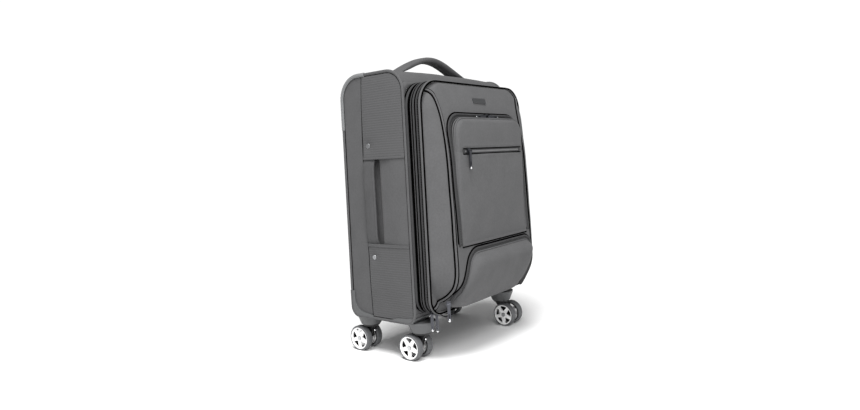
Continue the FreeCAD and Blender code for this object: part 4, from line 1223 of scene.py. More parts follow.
    def bezel_welt(self, bezel: Span) -> None:
        """A welt sewn round the trolley's bezel.

        Args:
            bezel: The bezel's box.
        """
        left, right, near, far = bezel.left, bezel.right, bezel.near, bezel.far
        outline = Outline([(left, near), (right, near), (right, far), (left, far)], [8.0] * 4)
        spots = []
        for spot, normal in outline.ring(3.0, 1.4):
            point = Vector((spot.x, BACK_Y - spot.y, SIDE.high + 0.4))
            spots.append(Station(point, Vector((normal.x, -normal.y, 0)), UP))
        shape = sweep(spots, round_section(1.9, 8), True)
        shape.to_object("bezel_welt", [PIPING_CLOTH], "case", "piping")

    def flange(self) -> None:
        """Front of the case in the four corners outside the rounded mouth."""
        outer_x, low, high = HALF - 1.5, MOUTH.low - 1.0, MOUTH.high + 1.0
        near, far = SIDE.far - WALL, SIDE.far - 0.2
        rings = []
        for spot, normal in mouth_outline(2.0).ring(4.0):
            across = (outer_x - abs(spot.x)) / max(abs(normal.x), 1e-6)
            along = ((high - spot.y) if normal.y > 0 else (spot.y - low)) / max(abs(normal.y), 1e-6)
            edge = spot + normal * max(min(across, along), 0.5)
            corners = ((spot, far), (edge, far), (edge, near), (spot, near))
            rings.append([front_place(point.x, point.y, depth) for point, depth in corners])
        loft(rings, True).to_object("front_flange", [PANEL_CLOTH], "case", "panel_fabric")

    def side_ring(self, sign: float, rise: float, spacing: float, grow: float = 0.0) -> list[Station]:
        """Stations round a side's outline that face away from its middle.

        Args:
            sign: -1 for the left side, 1 for the right.
            rise: How far outside the side it lies.
            spacing: Distance between stations.
            grow: How far outside the outline it runs.

        Returns:
            Stations in order round the side.
        """
        spots = []
        for spot, normal in self.outline().ring(spacing, grow):
            out = Vector((0, -normal.x, normal.y))
            spots.append(Station(side_place(sign)(spot.x, spot.y, rise), Vector((sign, 0, 0)), out))
        return spots

    def piping(self) -> None:
        """Cords in the seams round both side panels, with black cords beside them as painted shade in the
        seams.
        """
        cords, seams = Shape(), Shape()
        for sign in (-1.0, 1.0):
            cords.add(sweep(self.side_ring(sign, 0.3, 3.0), round_section(self.cord, 10), True))
            beside = self.side_ring(sign, -0.2, 3.0, -0.5 - self.cord)
            inset = [Station(spot.point, spot.out, spot.side) for spot in beside]
            seams.add(sweep(inset, round_section(1.3), True))
        piece = cords.to_object("cord_side_piping", [PIPING_CLOTH], "case", "piping")
        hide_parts("side_piping")
        seams.to_object("shade_seam_side_piping", [SEAM_SHADE_CLOTH], "case", "piping")

    def upright_seams(self) -> None:
        """Black cord down each side panel as painted shade in the seam where its padded middle meets the
        plain back strip.
        """
        outline = self.outline()
        seams = Shape()
        for sign in (-1.0, 1.0):
            path = []
            for z in spread(SIDE.low + 4, SIDE.high - 4, 90, 0.0):
                a = self.seam_at(z)
                path.append(side_place(sign)(a, z, self.side_height(outline, a, z, False) + SEWN_LIFT))
            seams.add(sweep(facing_stations(path, Vector((sign, 0, 0))), round_section(1.4), False))
        seams.to_object("shade_seam_side_upright", [SEAM_SHADE_CLOTH], "case", "panel_fabric")

    def corner_bindings(self) -> None:
        """Ribbed light bindings over the rear top corners."""
        guard = Span("rear_corner_guards")
        front = BACK_Y - (guard.far - 2)
        spacing, swell = 0.8, 0.35
        base = round_section(self.binding, 12)
        shape = Shape()
        for sign in (-1.0, 1.0):
            ring = self.side_ring(sign, 0.2, spacing)
            run = [spot for spot in ring if spot.point.z >= guard.low and spot.point.y >= front]
            ribs = [swell * math.sin(TURN * i * spacing / self.binding_rib) for i in range(len(run))]
            split = self.longest_gap(run)
            rings = []
            for spot, rib in zip(run[split:] + run[:split], ribs[split:] + ribs[:split]):
                grown = 1 + rib / self.binding
                rings.append([spot.point + spot.side * a * grown + spot.out * b * grown for a, b in base])
            shape.add(loft(rings, False))
        piece = shape.to_object("ribbed_corner_bindings", [BINDING_CLOTH], "case", "corner_binding")
        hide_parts("rear_corner_guards")

    @staticmethod
    def longest_gap(stations: Sequence[Station]) -> int:
        """Number of the station just after the longest jump."""
        gaps = [(stations[i].point - stations[i - 1].point).length for i in range(len(stations))]
        return gaps.index(max(gaps))

    def build(self) -> None:
        """Makes every fabric piece of the case."""
        self.side_panels()
        self.patches()
        self.wrap()
        self.flange()
        self.piping()
        self.upright_seams()
        self.corner_bindings()


@dataclass
class SideStrap:
    """Padded carry strap on the left side; its ends run under the patches."""

    case: CaseShell
    width: float = 28.0
    thick: float = 3.4
    crown: float = 0.8
    stand: float = 2.6
    sink: float = 5.2
    stitches: int = 60
    stitch_inset: float = 3.0

    def path(self) -> list[Vector]:
        """The strap's underside: sunk under both patches, standing clear of the hollow between them.

        Returns:
            The points, from the bottom up.
        """
        box = Span("side_carry_strap")
        panel, low, high = self.case.outline(), self.case.scoop_low, self.case.scoop_high
        path = []
        for z in spread(box.low, box.high, 70, 0.0):
            lift = self.stand * smooth_step(z, low - 4, low + 20) * (1 - smooth_step(z, high - 20, high + 4))
            clear = smooth_step(z, low, low + 8) * (1 - smooth_step(z, high - 8, high))
            rise = self.case.pillow(panel, self.case.strap_depth, z)
            rise += lift - self.sink * (1 - clear) - self.thick * clear
            path.append(side_place(-1.0)(self.case.strap_depth, z, rise))
        return path

    def stitching(self, path: Sequence[Vector]) -> None:
        """A row of stitches along both edges of the part that shows.

        Args:
            path: The strap's underside.
        """
        low, high = self.case.scoop_low + self.stitch_inset, self.case.scoop_high - self.stitch_inset
        spots = []
        for side in (-1, 1):
            across = side * (self.width / 2 - self.stitch_inset)
            for i in range(self.stitches):
                z = low + i * (high - low) / (self.stitches - 1)
                point = min(path, key=lambda spot: abs(spot.z - z)) + Vector((-self.thick - 0.25, across, 0))
                spots.append(Station(Vector((point.x, point.y, z)), Vector((0, 1, 0)), Vector((-1, 0, 0))))
        STRAP_STITCH.lay("strap_stitches", spots, THREAD, "case", "strap_fabric")

    def build(self) -> None:
        """Sweeps the strap along its line and sews it along both edges."""
        path = self.path()
        stations = facing_stations(path, Vector((-1, 0, 0)))
        shape = sweep(stations, strip_section(self.width, self.thick, self.crown), False)
        piece = shape.to_object("webbing_side_strap", [STRAP_CLOTH], "case", "strap_fabric")
        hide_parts("side_carry_strap")
        self.stitching(path)


# ---------------------------------------------------------------- bands round the mouth
@dataclass
class MouthBands:
    """Everything that runs round the mouth: gusset, expansion zipper, tapes, teeth and piping."""

    tooth_pitch: float = 3.0
    welt: float = 4.0
    cord: float = 2.7
    valley: float = -2.4

    def band(
        self,
        name: str,
        profile: Sequence[tuple[float, float]],
        wall: float,
        finish: Finish,
        body: str,
        slot: str,
    ) -> bpy.types.Object:
        """Sweeps a band round the mouth.

        Args:
            name: Name of the piece.
            profile: (depth, height) points of its outer face, from the back forwards.
            wall: How far inside the outline its inner face lies.
            finish: Its finish.
            body: The body that it rides on.
            slot: The record's slot.

        Returns:
            The new object.
        """
        base = profile[0][0]
        section = [(a - base, b) for a, b in profile]
        section += [(profile[-1][0] - base, -wall), (0.0, -wall)]
        stations = front_stations(mouth_outline(), 5.0, base)
        return sweep(stations, section, True).to_object(name, [finish], body, slot)

    def ridge(self, start: float, end: float, low: float, high: float) -> list[tuple[float, float]]:
        """Profile of one rounded ridge between two depths.

        Args:
            start: Depth where it starts.
            end: Depth where it ends.
            low: Height of its feet.
            high: Height of its crest.

        Returns:
            (depth, height) points, in order.
        """
        profile = []
        steps = 6
        for i in range(steps + 1):
            rise = (1 - math.cos(TURN * i / steps)) / 2
            profile.append((start + (end - start) * i / steps, low + (high - low) * rise**0.5))
        return profile

    def gusset(self) -> None:
        """Folded cloth between the case and the expansion zipper."""
        fold = self.ridge(MOUTH.near + 0.6, MOUTH.far, self.valley, 1.4)
        profile = [(MOUTH.near - 6.0, self.valley)] + fold
        piece = self.band("cloth_expander_gusset", profile, WALL, TAPE_CLOTH, "case", "panel_fabric")
        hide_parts("expander_gusset")

    def case_tapes(self) -> None:
        """The expansion zipper's groove, lined with black as painted shade, and the ridged tape in front of
        it.
        """
        groove = [(MOUTH.far, -WALL), (CASE_TAPE.near, -WALL)]
        piece = self.band("expansion_groove_shade", groove, WALL + 2.5, SEAM_SHADE_CLOTH, "case", "zipper_tape")
        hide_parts("expansion_zipper")
        profile = self.tape_profile()
        piece = self.band("ridged_case_tape", profile, WALL + 1.0, TAPE_CLOTH, "case", "zipper_tape")
        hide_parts("main_zipper_case_side")

    def lid_tape(self) -> None:
        """The narrow strip of tape that shows on the lid's side of the teeth, black as painted shade in the
        crevice next to the lid's piping.
        """
        profile = [(LID_TAPE.near, -1.2), (LID_TAPE.far, -0.6)]
        piece = self.band("lid_zipper_tape_shade", profile, WALL + 1.0, SEAM_SHADE_CLOTH, "lid", "zipper_tape")
        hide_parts("main_zipper_lid_side")

    def tape_profile(self) -> list[tuple[float, float]]:
        """The case-side tape: a narrow welt, a broad flat band and a second welt beside the teeth.

        Returns:
            (depth, height) points, in order.
        """
        start, end = CASE_TAPE.near, CASE_TAPE.far
        narrow = self.ridge(start, start + self.welt, self.valley, 1.6)
        broad = self.ridge(start + self.welt, end - self.welt, -1.6, 1.9)
        last = self.ridge(end - self.welt, end, -1.6, 0.4)
        return narrow + broad[1:] + last[1:]

    def dark_lines(self) -> None:
        """Black lines as painted shade in the valleys between the bands, each with its depth, lift and
        radius.
        """
        lines = Shape()
        start, end = CASE_TAPE.near, CASE_TAPE.far
        for depth, lift, radius in (
            (MOUTH.near + 1.3, -0.2, 2.0),
            (MOUTH.far + 1.0, -1.0, 2.4),
            (start - 1.2, -1.0, 2.4),
            (start + self.welt, -0.4, 1.5),
            (end - self.welt, -0.4, 1.7),
        ):
            stations = front_stations(mouth_outline(), 5.0, depth, lift)
            lines.add(sweep(stations, round_section(radius), True))
        lines.to_object("shade_lines_mouth", [SEAM_SHADE_CLOTH], "case", "zipper_tape")

    def teeth(self, name: str, depth: float, lift: float) -> None:
        """A row of coil teeth round the mouth at one depth."""
        stations = front_stations(mouth_outline(), self.tooth_pitch, depth, lift)
        MAIN_TOOTH.lay(name, stations, COIL, "case", "zipper_tape")

    def lid_piping(self) -> None:
        """Cord round the lid's back edge."""
        stations = front_stations(mouth_outline(), 4.0, LID_TAPE.far + self.cord - 0.1)
        cord = sweep(stations, round_section(self.cord, 10), True)
        piece = cord.to_object("cord_lid_piping", [PIPING_CLOTH], "lid", "piping")
        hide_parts("lid_piping")

    def build(self) -> None:
        """Makes the bands from the side piping forwards to the lid's piping."""
        self.gusset()
        self.case_tapes()
        self.lid_tape()
        self.dark_lines()
        self.teeth("expansion_teeth", (MOUTH.far + CASE_TAPE.near) / 2, -3.6)
        self.teeth("main_teeth", CASE_TAPE.far, -0.9)
        self.lid_piping()


# ---------------------------------------------------------------- the lid
@dataclass
class LidSurface:
    """Height of the lid's front over its back edge, as one function that its trim follows."""

    hem: float = 26.0
    belly: float = 46.0
    belly_z: float = 150.0
    shoulder: float = 32.0
    shoulder_z: float = 420.0
    crest: float = 7.0
    bevel_foot: float = 4.0
    bevel_slope: float = 40.0 / 33.0
    outline: Outline = field(default_factory=mouth_outline)
    lower_round: float = 84.0
    upper_round: float = 62.0
    face_outline: Outline = field(init=False)

    def __post_init__(self) -> None:
        """Draws the softer outline that the padded front follows at its corners."""
        x, low, high = HALF, self.outline.low, self.outline.high
        radii = [self.lower_round] * 2 + [self.upper_round] * 2
        self.face_outline = Outline([(-x, low), (x, low), (x, high), (-x, high)], radii)

    def front(self, z: float) -> float:
        """The front's rise from the side: hem, belly, long slope and shoulder.

        Args:
            z: Height.

        Returns:
            The rise there.
        """
        slope_run, lower_run = self.shoulder_z - self.belly_z, self.belly_z - self.outline.low
        upper_run = self.outline.high - self.shoulder_z
        slope = self.belly + (self.shoulder - self.belly) * (z - self.belly_z) / slope_run
        lower = self.hem + (self.belly - self.hem) * (z - self.outline.low) / lower_run
        upper = self.shoulder + (self.crest - self.shoulder) * (z - self.shoulder_z) / upper_run
        rise = soft_min(soft_min(slope, lower, 8.0), upper, 12.0)
        rise -= edge_roll(z - self.outline.low, 14.0)
        return rise - 0.7 * edge_roll(self.outline.high - z, 7.0)

    def rise(self, x: float, z: float) -> float:
        """The lid's rise at a point: its front, leaning down to the bevelled sides.

        Args:
            x: Distance to the right of the middle.
            z: Height.

        Returns:
            The rise there.
        """
        left, right = self.face_outline.span(z)
        margin = max(min(x - left, right - x), 0.0)
        bevel = self.bevel_foot + margin * self.bevel_slope
        bevel -= 0.5 * edge_roll(margin, 6.0)
        creases = slack(x, z, 0.9) * smooth_step(margin, 4.0, 24.0)
        return max(soft_min(self.front(z), bevel, 13.0) - creases, 1.0)

    def depth(self, x: float, z: float) -> float:
        """Depth of the lid's face."""
        return LID_BACK + self.rise(x, z)

    def out(self, x: float, z: float) -> Vector:
        """Outward direction of the lid's face.

        Args:
            x: Distance to the right of the middle.
            z: Height.

        Returns:
            The direction, of length one.
        """
        step = 1.5
        across = (self.rise(x + step, z) - self.rise(x - step, z)) / (2 * step)
        along = (self.rise(x, z + step) - self.rise(x, z - step)) / (2 * step)
        return Vector((-across, -1.0, -along)).normalized()

    def run(self, points: Sequence[Vector], lift: float = 0.0) -> list[Station]:
        """A path over the lid's face through (x, z) points, lifted off it.

        Args:
            points: The (x, z) points, in order.
            lift: How far off the face it runs.

        Returns:
            Stations in order along the path.
        """
        spots = [front_place(p.x, p.y, self.depth(p.x, p.y)) for p in points]
        stations = []
        for i, spot in enumerate(spots):
            out = self.out(points[i].x, points[i].y)
            ahead = spots[min(i + 1, len(spots) - 1)] - spots[max(i - 1, 0)]
            side = out.cross(ahead).normalized()
            stations.append(Station(spot + out * lift, side, ahead.cross(side).normalized()))
        return stations


@dataclass
class Lid:
    """The padded lid with the corded seams that bound its bevelled sides, and its lining."""

    surface: LidSurface = field(default_factory=LidSurface)
    seam_inset: float = 34.0
    top_bend: float = 62.0
    foot_bend: float = 44.0
    end_inset: float = 2.0

    def shell(self) -> None:
        """Front and sides in one padded skin, hollow behind."""
        surface = self.surface
        outline = surface.outline

        def inner(a: float, b: float) -> float:
            """The lining's depth behind the padded face."""
            wall = smooth_step(outline.inside(a, b), WALL - 0.5, WALL + 3.0)
            return LID_BACK + max(surface.rise(a, b) - WALL, 0.0) * wall

        sheet = Sheet(outline, front_place, surface.depth, inner, columns=84, rows=110)
        piece = sheet.shape().to_object("padded_lid", [LID_CLOTH, LINING_CLOTH], "lid", "lid_fabric")
        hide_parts("lid_shell")

    def seam_path(self, sign: float) -> list[Vector]:
        """(x, z) of a seam: from the lid's top corner, down the bevel's crease, to its lower corner.

        Args:
            sign: -1 for the left side, 1 for the right.

        Returns:
            The points, from the top down.
        """
        outline = self.surface.outline
        line = HALF - self.seam_inset
        points = []
        bends = ((1, MOUTH_TOP_RADIUS, self.top_bend), (-1, MOUTH_RADIUS, self.foot_bend))
        for sense, radius, bend in bends:
            corner = radius * (1 - math.sqrt(0.5)) + self.end_inset
            tip = Vector((HALF - corner, (outline.high if sense > 0 else outline.low) - sense * corner))
            for i in range(17):
                t = math.pi / 2 * i / 16
                x = line + (tip.x - line) * (1 - math.sin(t))
                z = tip.y - sense * bend * (1 - math.cos(t))
                points.append(Vector((sign * x, z)))
        upper, lower = points[:17], points[:16:-1]
        run = [upper[-1].lerp(lower[0], i / 60) for i in range(1, 60)]
        return upper + run + lower

    def seams(self) -> None:
        """A cord between two black lines, painted shade of the seam, along each bevel's crease."""
        cords, lines = Shape(), Shape()
        for sign in (-1.0, 1.0):
            path = self.surface.run(self.seam_path(sign), 0.0)
            cords.add(sweep(path, round_section(2.3, 8, 0.9), False))
            for side in (-3.1, 3.1):
                lines.add(sweep(path, round_section(1.7, 6, 0.1, side), False))
        cords.to_object("cord_lid_seams", [PIPING_CLOTH], "lid", "piping")
        lines.to_object("shade_lines_lid", [SEAM_SHADE_CLOTH], "lid", "piping")

    def foot_seam(self) -> None:
        """Black cord as painted shade in the seam between the lid's piping and its padded side."""
        stations = front_stations(self.surface.outline, 4.0, LID_TAPE.far + 5.9)
        shape = sweep(stations, round_section(1.6), True)
        shape.to_object("shade_line_lid_foot", [SEAM_SHADE_CLOTH], "lid", "piping")

    def hinge(self) -> None:
        """Doubled fabric on the right side where the lid swings, made as a fixed sheet on no body."""
        box = Span("fabric_hinge")
        wide, tall = 9, 40
        start, end = CASE_TAPE.far - 7.0, LID_TAPE.far + 2.0

        def place(i: int, j: int, layer: int) -> Vector:
            """Point of a column and row on a layer.

            Args:
                i: Column.
                j: Row.
                layer: 0 outside, 1 inside.

            Returns:
                The point there.
            """
            depth = start + (end - start) * i / (wide - 1)
            z = box.low + (box.high - MOUTH_TOP_RADIUS + MOUTH_RADIUS - box.low) * j / (tall - 1)
            return Vector((HALF + 2.2 - 1.4 * layer, BACK_Y - depth, z))

        shape = shell_of(wide, tall, place, lambda i, j: True)
        piece = shape.to_object("cloth_hinge", [PANEL_CLOTH, LINING_CLOTH], "", "panel_fabric")
        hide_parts("fabric_hinge")
        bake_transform(piece)

    def build(self) -> None:
        """Makes the lid's pieces."""
        self.shell()
        self.seams()
        self.foot_seam()
        self.hinge()


# ---------------------------------------------------------------- pockets
@dataclass
class PocketShape:
    """Sizes of a pocket's padded face."""

    crown: float
    roll: float
    foot_roll: float
    side_cords: tuple[float, ...]
    bulge: float = 0.0
    tuck: float = 0.0
    tuck_height: float = 100.0


class Pocket:
    """A padded pocket on the lid: its face, its corded edge and the zipper band round it."""

    def __init__(self, node: str, outline: Outline, surface: LidSurface, form: PocketShape) -> None:
        """Reads the pocket's face depth off its node.

        Args:
            node: The node's name.
            outline: The outline to follow.
            surface: The lid's surface.
            form: Sizes of the pocket's face.
        """
        self.node = node
        self.outline = outline
        self.surface = surface
        self.form = form
        self.face = Span(node).far

    def groove(self, a: float, b: float) -> float:
        """Dips and lips in the face."""
        return 0.0

    def outer(self, a: float, b: float) -> float:
        """Depth of the pocket's face, never behind the lid's.

        Args:
            a: Distance to the right of the middle.
            b: Height.

        Returns:
            The depth there.
        """
        distance = self.outline.inside(a, b)
        if self.form.bulge:
            lid = self.surface.depth(a, b)
            t = min(distance / self.form.bulge, 1.0)
            tuck = 1 - smooth_step(b, self.outline.low - 30, self.outline.low + self.form.tuck_height)
            full = self.face + self.form.crown - lid - slack(a, b, 1.6) - self.form.tuck * tuck
            full = max(full, 4.0)
            return lid + 0.6 + full * (1 - (1 - t) ** 2.2) ** 0.6
        foot = smooth_step(b, self.outline.low, self.outline.low + 30)
        radius = self.form.foot_roll + (self.form.roll - self.form.foot_roll) * foot
        depth = self.face + 0.5 - self.form.crown * math.exp(-distance / 26.0)
        depth -= edge_roll(distance, radius) + slack(a, b, 0.5)
        return max(depth + self.groove(a, b), self.surface.depth(a, b) + 0.6)

    def panel(self) -> None:
        """The padded face with its edge rolled down to the lid."""
        inner = lambda a, b: self.surface.depth(a, b) - 1.0
        sheet = Sheet(self.outline, front_place, self.outer, inner, columns=76, rows=84)
        piece = sheet.shape().to_object("padded_" + self.node, [LID_CLOTH, LINING_CLOTH], "lid", "lid_fabric")
        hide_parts(self.node)

    def edge_cords(self, open_from: float) -> None:
        """Bindings round the pocket's side, at heights between the lid and the face.

        Args:
            open_from: Height below which the outline is left out.
        """
        cords, lines = Shape(), Shape()
        for part in self.form.side_cords:
            cords.add(sweep(self.path(open_from, 1.0, part), round_section(1.7, 8), False))
            # Painted shade: a black line beside each cord, a little nearer the lid.
            lines.add(sweep(self.path(open_from, 0.8, part - 0.17), round_section(1.3), False))
        cords.to_object("cord_" + self.node, [PIPING_CLOTH], "lid", "piping")
        lines.to_object("seam_" + self.node, [SEAM_SHADE_CLOTH], "lid", "piping")

    def path(self, open_from: float, grow: float, part: float, spacing: float = 3.0) -> list[Station]:
        """Open run round the pocket above a height, part of the way from the lid to its face.

        Args:
            open_from: Height below which the outline is left out.
            grow: How far outside the outline it runs.
            part: 0 on the lid, 1 on the pocket's edge.
            spacing: Distance between stations.

        Returns:
            Stations that face forwards.
        """
        ring = self.outline.ring(spacing, grow)
        keep = [k for k, (spot, _) in enumerate(ring) if spot.y > open_from]
        gaps = [k for k in range(len(keep)) if (keep[k] - keep[k - 1]) % len(ring) != 1]
        split = gaps[0] if gaps else 0
        stations = []
        for k in keep[split:] + keep[:split]:
            spot, normal = ring[k]
            low = self.surface.depth(spot.x, spot.y)
            high = self.outer(spot.x - normal.x * (grow + 0.5), spot.y - normal.y * (grow + 0.5))
            point = front_place(spot.x, spot.y, low + (high - low) * part)
            stations.append(Station(point, Vector((normal.x, 0, normal.y)), FORWARD))
        return stations

    def zipper(self, node: str, open_from: float) -> None:
        """Tape with a coil along its middle, a binding on its outer edge and a black line of painted shade
        outside that.

        Args:
            node: The node's name.
            open_from: Height below which the outline is left out.
        """
        base = self.path(open_from, 0.0, 0.0)
        section = [(0.0, -2.5), (0.0, 2.0), (3.2, 2.4), (4.0, 1.2)]
        section += [(6.6, 1.2), (7.4, 2.6), (10.4, 2.2), (11.0, -2.5)]
        piece = sweep(base, section, False).to_object("tape_" + node, [TAPE_CLOTH], "lid", "zipper_tape")
        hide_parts(node)
        teeth = []
        for spot in self.path(open_from + 2, 5.3, 0.0, 3.0):
            teeth.append(Station(spot.point + spot.out * 1.6, spot.side, spot.out))
        POCKET_TOOTH.lay("teeth_" + node, teeth, COIL, "lid", "zipper_tape")
        # Painted shade: a black line just outside the tape's outer edge.
        line = sweep(self.path(open_from, 11.8, 0.0), round_section(1.6, 6, 0.2), False)
        line.to_object("seam_" + node, [SEAM_SHADE_CLOTH], "lid", "piping")


class UpperPocket(Pocket):
    """The upper pocket, with a straight zipper sunk across it."""

    def __init__(self, surface: LidSurface) -> None:
        """Draws the outline from the node's box.

        Args:
            surface: The lid's surface.
        """
        box = Span("upper_pocket")
        corners = [(box.left, box.low), (box.right, box.low), (box.right, box.high), (box.left, box.high)]
        outline = Outline(corners, [4.0, 4.0, 28.0, 28.0])
        super().__init__("upper_pocket", outline, surface, PocketShape(3.2, 7.0, 9.0, (0.5, 0.86)))
        self.welt = Span("welt_zipper")

    def groove(self, a: float, b: float) -> float:
        """The straight zipper's valley between two lips; a seam carries on to the pocket's edges.

        Args:
            a: Distance to the right of the middle.
            b: Height.

        Returns:
            The change in depth there.
        """
        middle = (self.welt.low + self.welt.high) / 2
        away = abs(b - middle)
        half = (self.welt.high - self.welt.low) / 2
        on_zip = 1 - smooth_step(abs(a), self.welt.right - 2, self.welt.right + 5)
        lips = 0.9 * math.exp(-(((away - half - 1.5) / 2.4) ** 2)) * on_zip
        valley = 1.9 * (1 - smooth_step(away, half - 2.0, half)) * on_zip
        seam = 1.8 * math.exp(-((away / 2.0) ** 2)) * (1 - on_zip)
        return lips - valley - seam

    def welt_zipper(self) -> None:
        """Tape and teeth in the valley, with black lines of painted shade along its edges."""
        left, right, tall = self.welt.left, self.welt.right, self.welt.high - self.welt.low
        middle = (self.welt.low + self.welt.high) / 2
        path = [front_place(x, middle, self.face - 1.9) for x in spread(left, right, 40, 0.0)]
        tape = sweep(facing_stations(path, FORWARD), strip_section(tall - 1.0, 1.0), False)
        piece = tape.to_object("tape_welt_zipper", [TAPE_CLOTH], "lid", "zipper_tape")
        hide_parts("welt_zipper")
        # Painted shade: black lines along both edges of the valley.
        lines = Shape()
        for side in (-1, 1):
            edge = middle + side * (tall - 2.0) / 2
            run = [front_place(p.x, edge, self.face - 0.6) for p in path]
            lines.add(sweep(facing_stations(run, FORWARD), round_section(0.9), False))
        lines.to_object("shade_lines_welt_zipper", [SEAM_SHADE_CLOTH], "lid", "piping")
        teeth = []
        pitch, margin = 2.6, 6.0
        for i in range(int((right - left - 2 * margin) / pitch)):
            point = front_place(left + margin + i * pitch, middle, self.face - 0.7)
            teeth.append(Station(point, UP, FORWARD))
        WELT_TOOTH.lay("teeth_welt_zipper", teeth, PALE_COIL, "lid", "zipper_tape")

    def foot_seam(self) -> None:
        """Painted shadow: a black cord under the pocket's lower edge, where its tucked-in cloth lies in
        shade.
        """
        left, right = self.outline.span(220)
        path = [Vector((x, self.outline.low - 0.6)) for x in spread(left, right, 40, 0.0)]
        tuck = sweep(self.surface.run(path, SEWN_LIFT), round_section(1.2), False)
        tuck.to_object("shadow_under_upper_pocket", [SEAM_SHADE_CLOTH], "lid", "piping")

    def build(self) -> None:
        """Makes the pocket and its trim."""
        self.panel()
        self.edge_cords(self.outline.low + 5)
        self.zipper("upper_pocket_zipper", self.outline.low + 3)
        self.welt_zipper()
        self.foot_seam()


class LowerPocket(Pocket):
    """The full lower pocket; its zipper climbs from the left hem and crosses its top."""

    def __init__(self, surface: LidSurface) -> None:
        """Draws the outline, which steps out towards the left hem.

        Args:
            surface: The lid's surface.
        """
        box = Span("lower_pocket")
        flare = 24.0
        left, right = box.left + flare, box.right
        corners = [
            (box.left, box.low), (right - flare, box.low), (right, box.low + 2 * flare),
            (right, box.high), (left + flare, box.high), (left, 146.0),
        ]
        outline = Outline(corners, [14.0, 40.0, 50.0, 20.0, 30.0, 26.0])
        super().__init__("lower_pocket", outline, surface, PocketShape(11.0, 20.0, 24.0, (0.45,), 34.0, 36.0))

    def build(self) -> None:
        """Makes the pocket and its trim."""
        self.panel()
        self.edge_cords(self.outline.low + 8)
        self.zipper("lower_pocket_zipper", self.outline.low + 6)


# ---------------------------------------------------------------- handle, badge and hard parts
@dataclass
class TopHandle:
    """Padded carry handle, bowed over the top and sewn down at both ends."""

    thick: float = 12.0
    steps: int = 72
    spokes: int = 20
    grip_lift: float = 3.0
    bow_lift: float = 2.0
    thinning: float = 0.55
    widening: float = 0.22

    def build(self) -> None:
        """Sweeps a cushioned section whose thickness runs out into the sewn ends."""
        box = Span("top_handle")
        half_width = (box.far - box.near) / 2
        depth = (box.near + box.far) / 2
        foot = SIDE.high
        crest = box.high - foot - self.thick / 2
        turns = [TURN * k / self.spokes for k in range(self.spokes)]
        section = [(math.cos(turn), math.sin(turn)) for turn in turns]
        rings = []
        for i in range(self.steps + 1):
            x = box.left + (box.right - box.left) * i / self.steps
            t = x / box.right
            arch = foot + self.grip_lift + (crest - self.grip_lift) * (math.cos(math.pi * t) + 1) / 2
            bow = foot + self.bow_lift + (crest - self.bow_lift) * max(1 - abs(t) ** 2.0, 0.0)
            centre = 0.55 * bow + 0.45 * arch
            half_thick = self.thick / 2 * (1 - self.thinning * smooth_step(abs(t), 0.55, 1.0))
            wide = half_width * (1 + self.widening * smooth_step(abs(t), 0.5, 0.95))
            ring = []
            for c, s in section:
                a = math.copysign(abs(c) ** 0.55, c) * wide
                b = math.copysign(abs(s) ** 0.8, s) * half_thick
                ring.append(Vector((x, BACK_Y - depth + a, centre + b)))
            rings.append(ring)
        piece = loft(rings, False).to_object("padded_top_handle", [PANEL_CLOTH], "case", "strap_fabric")
        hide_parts("top_handle")


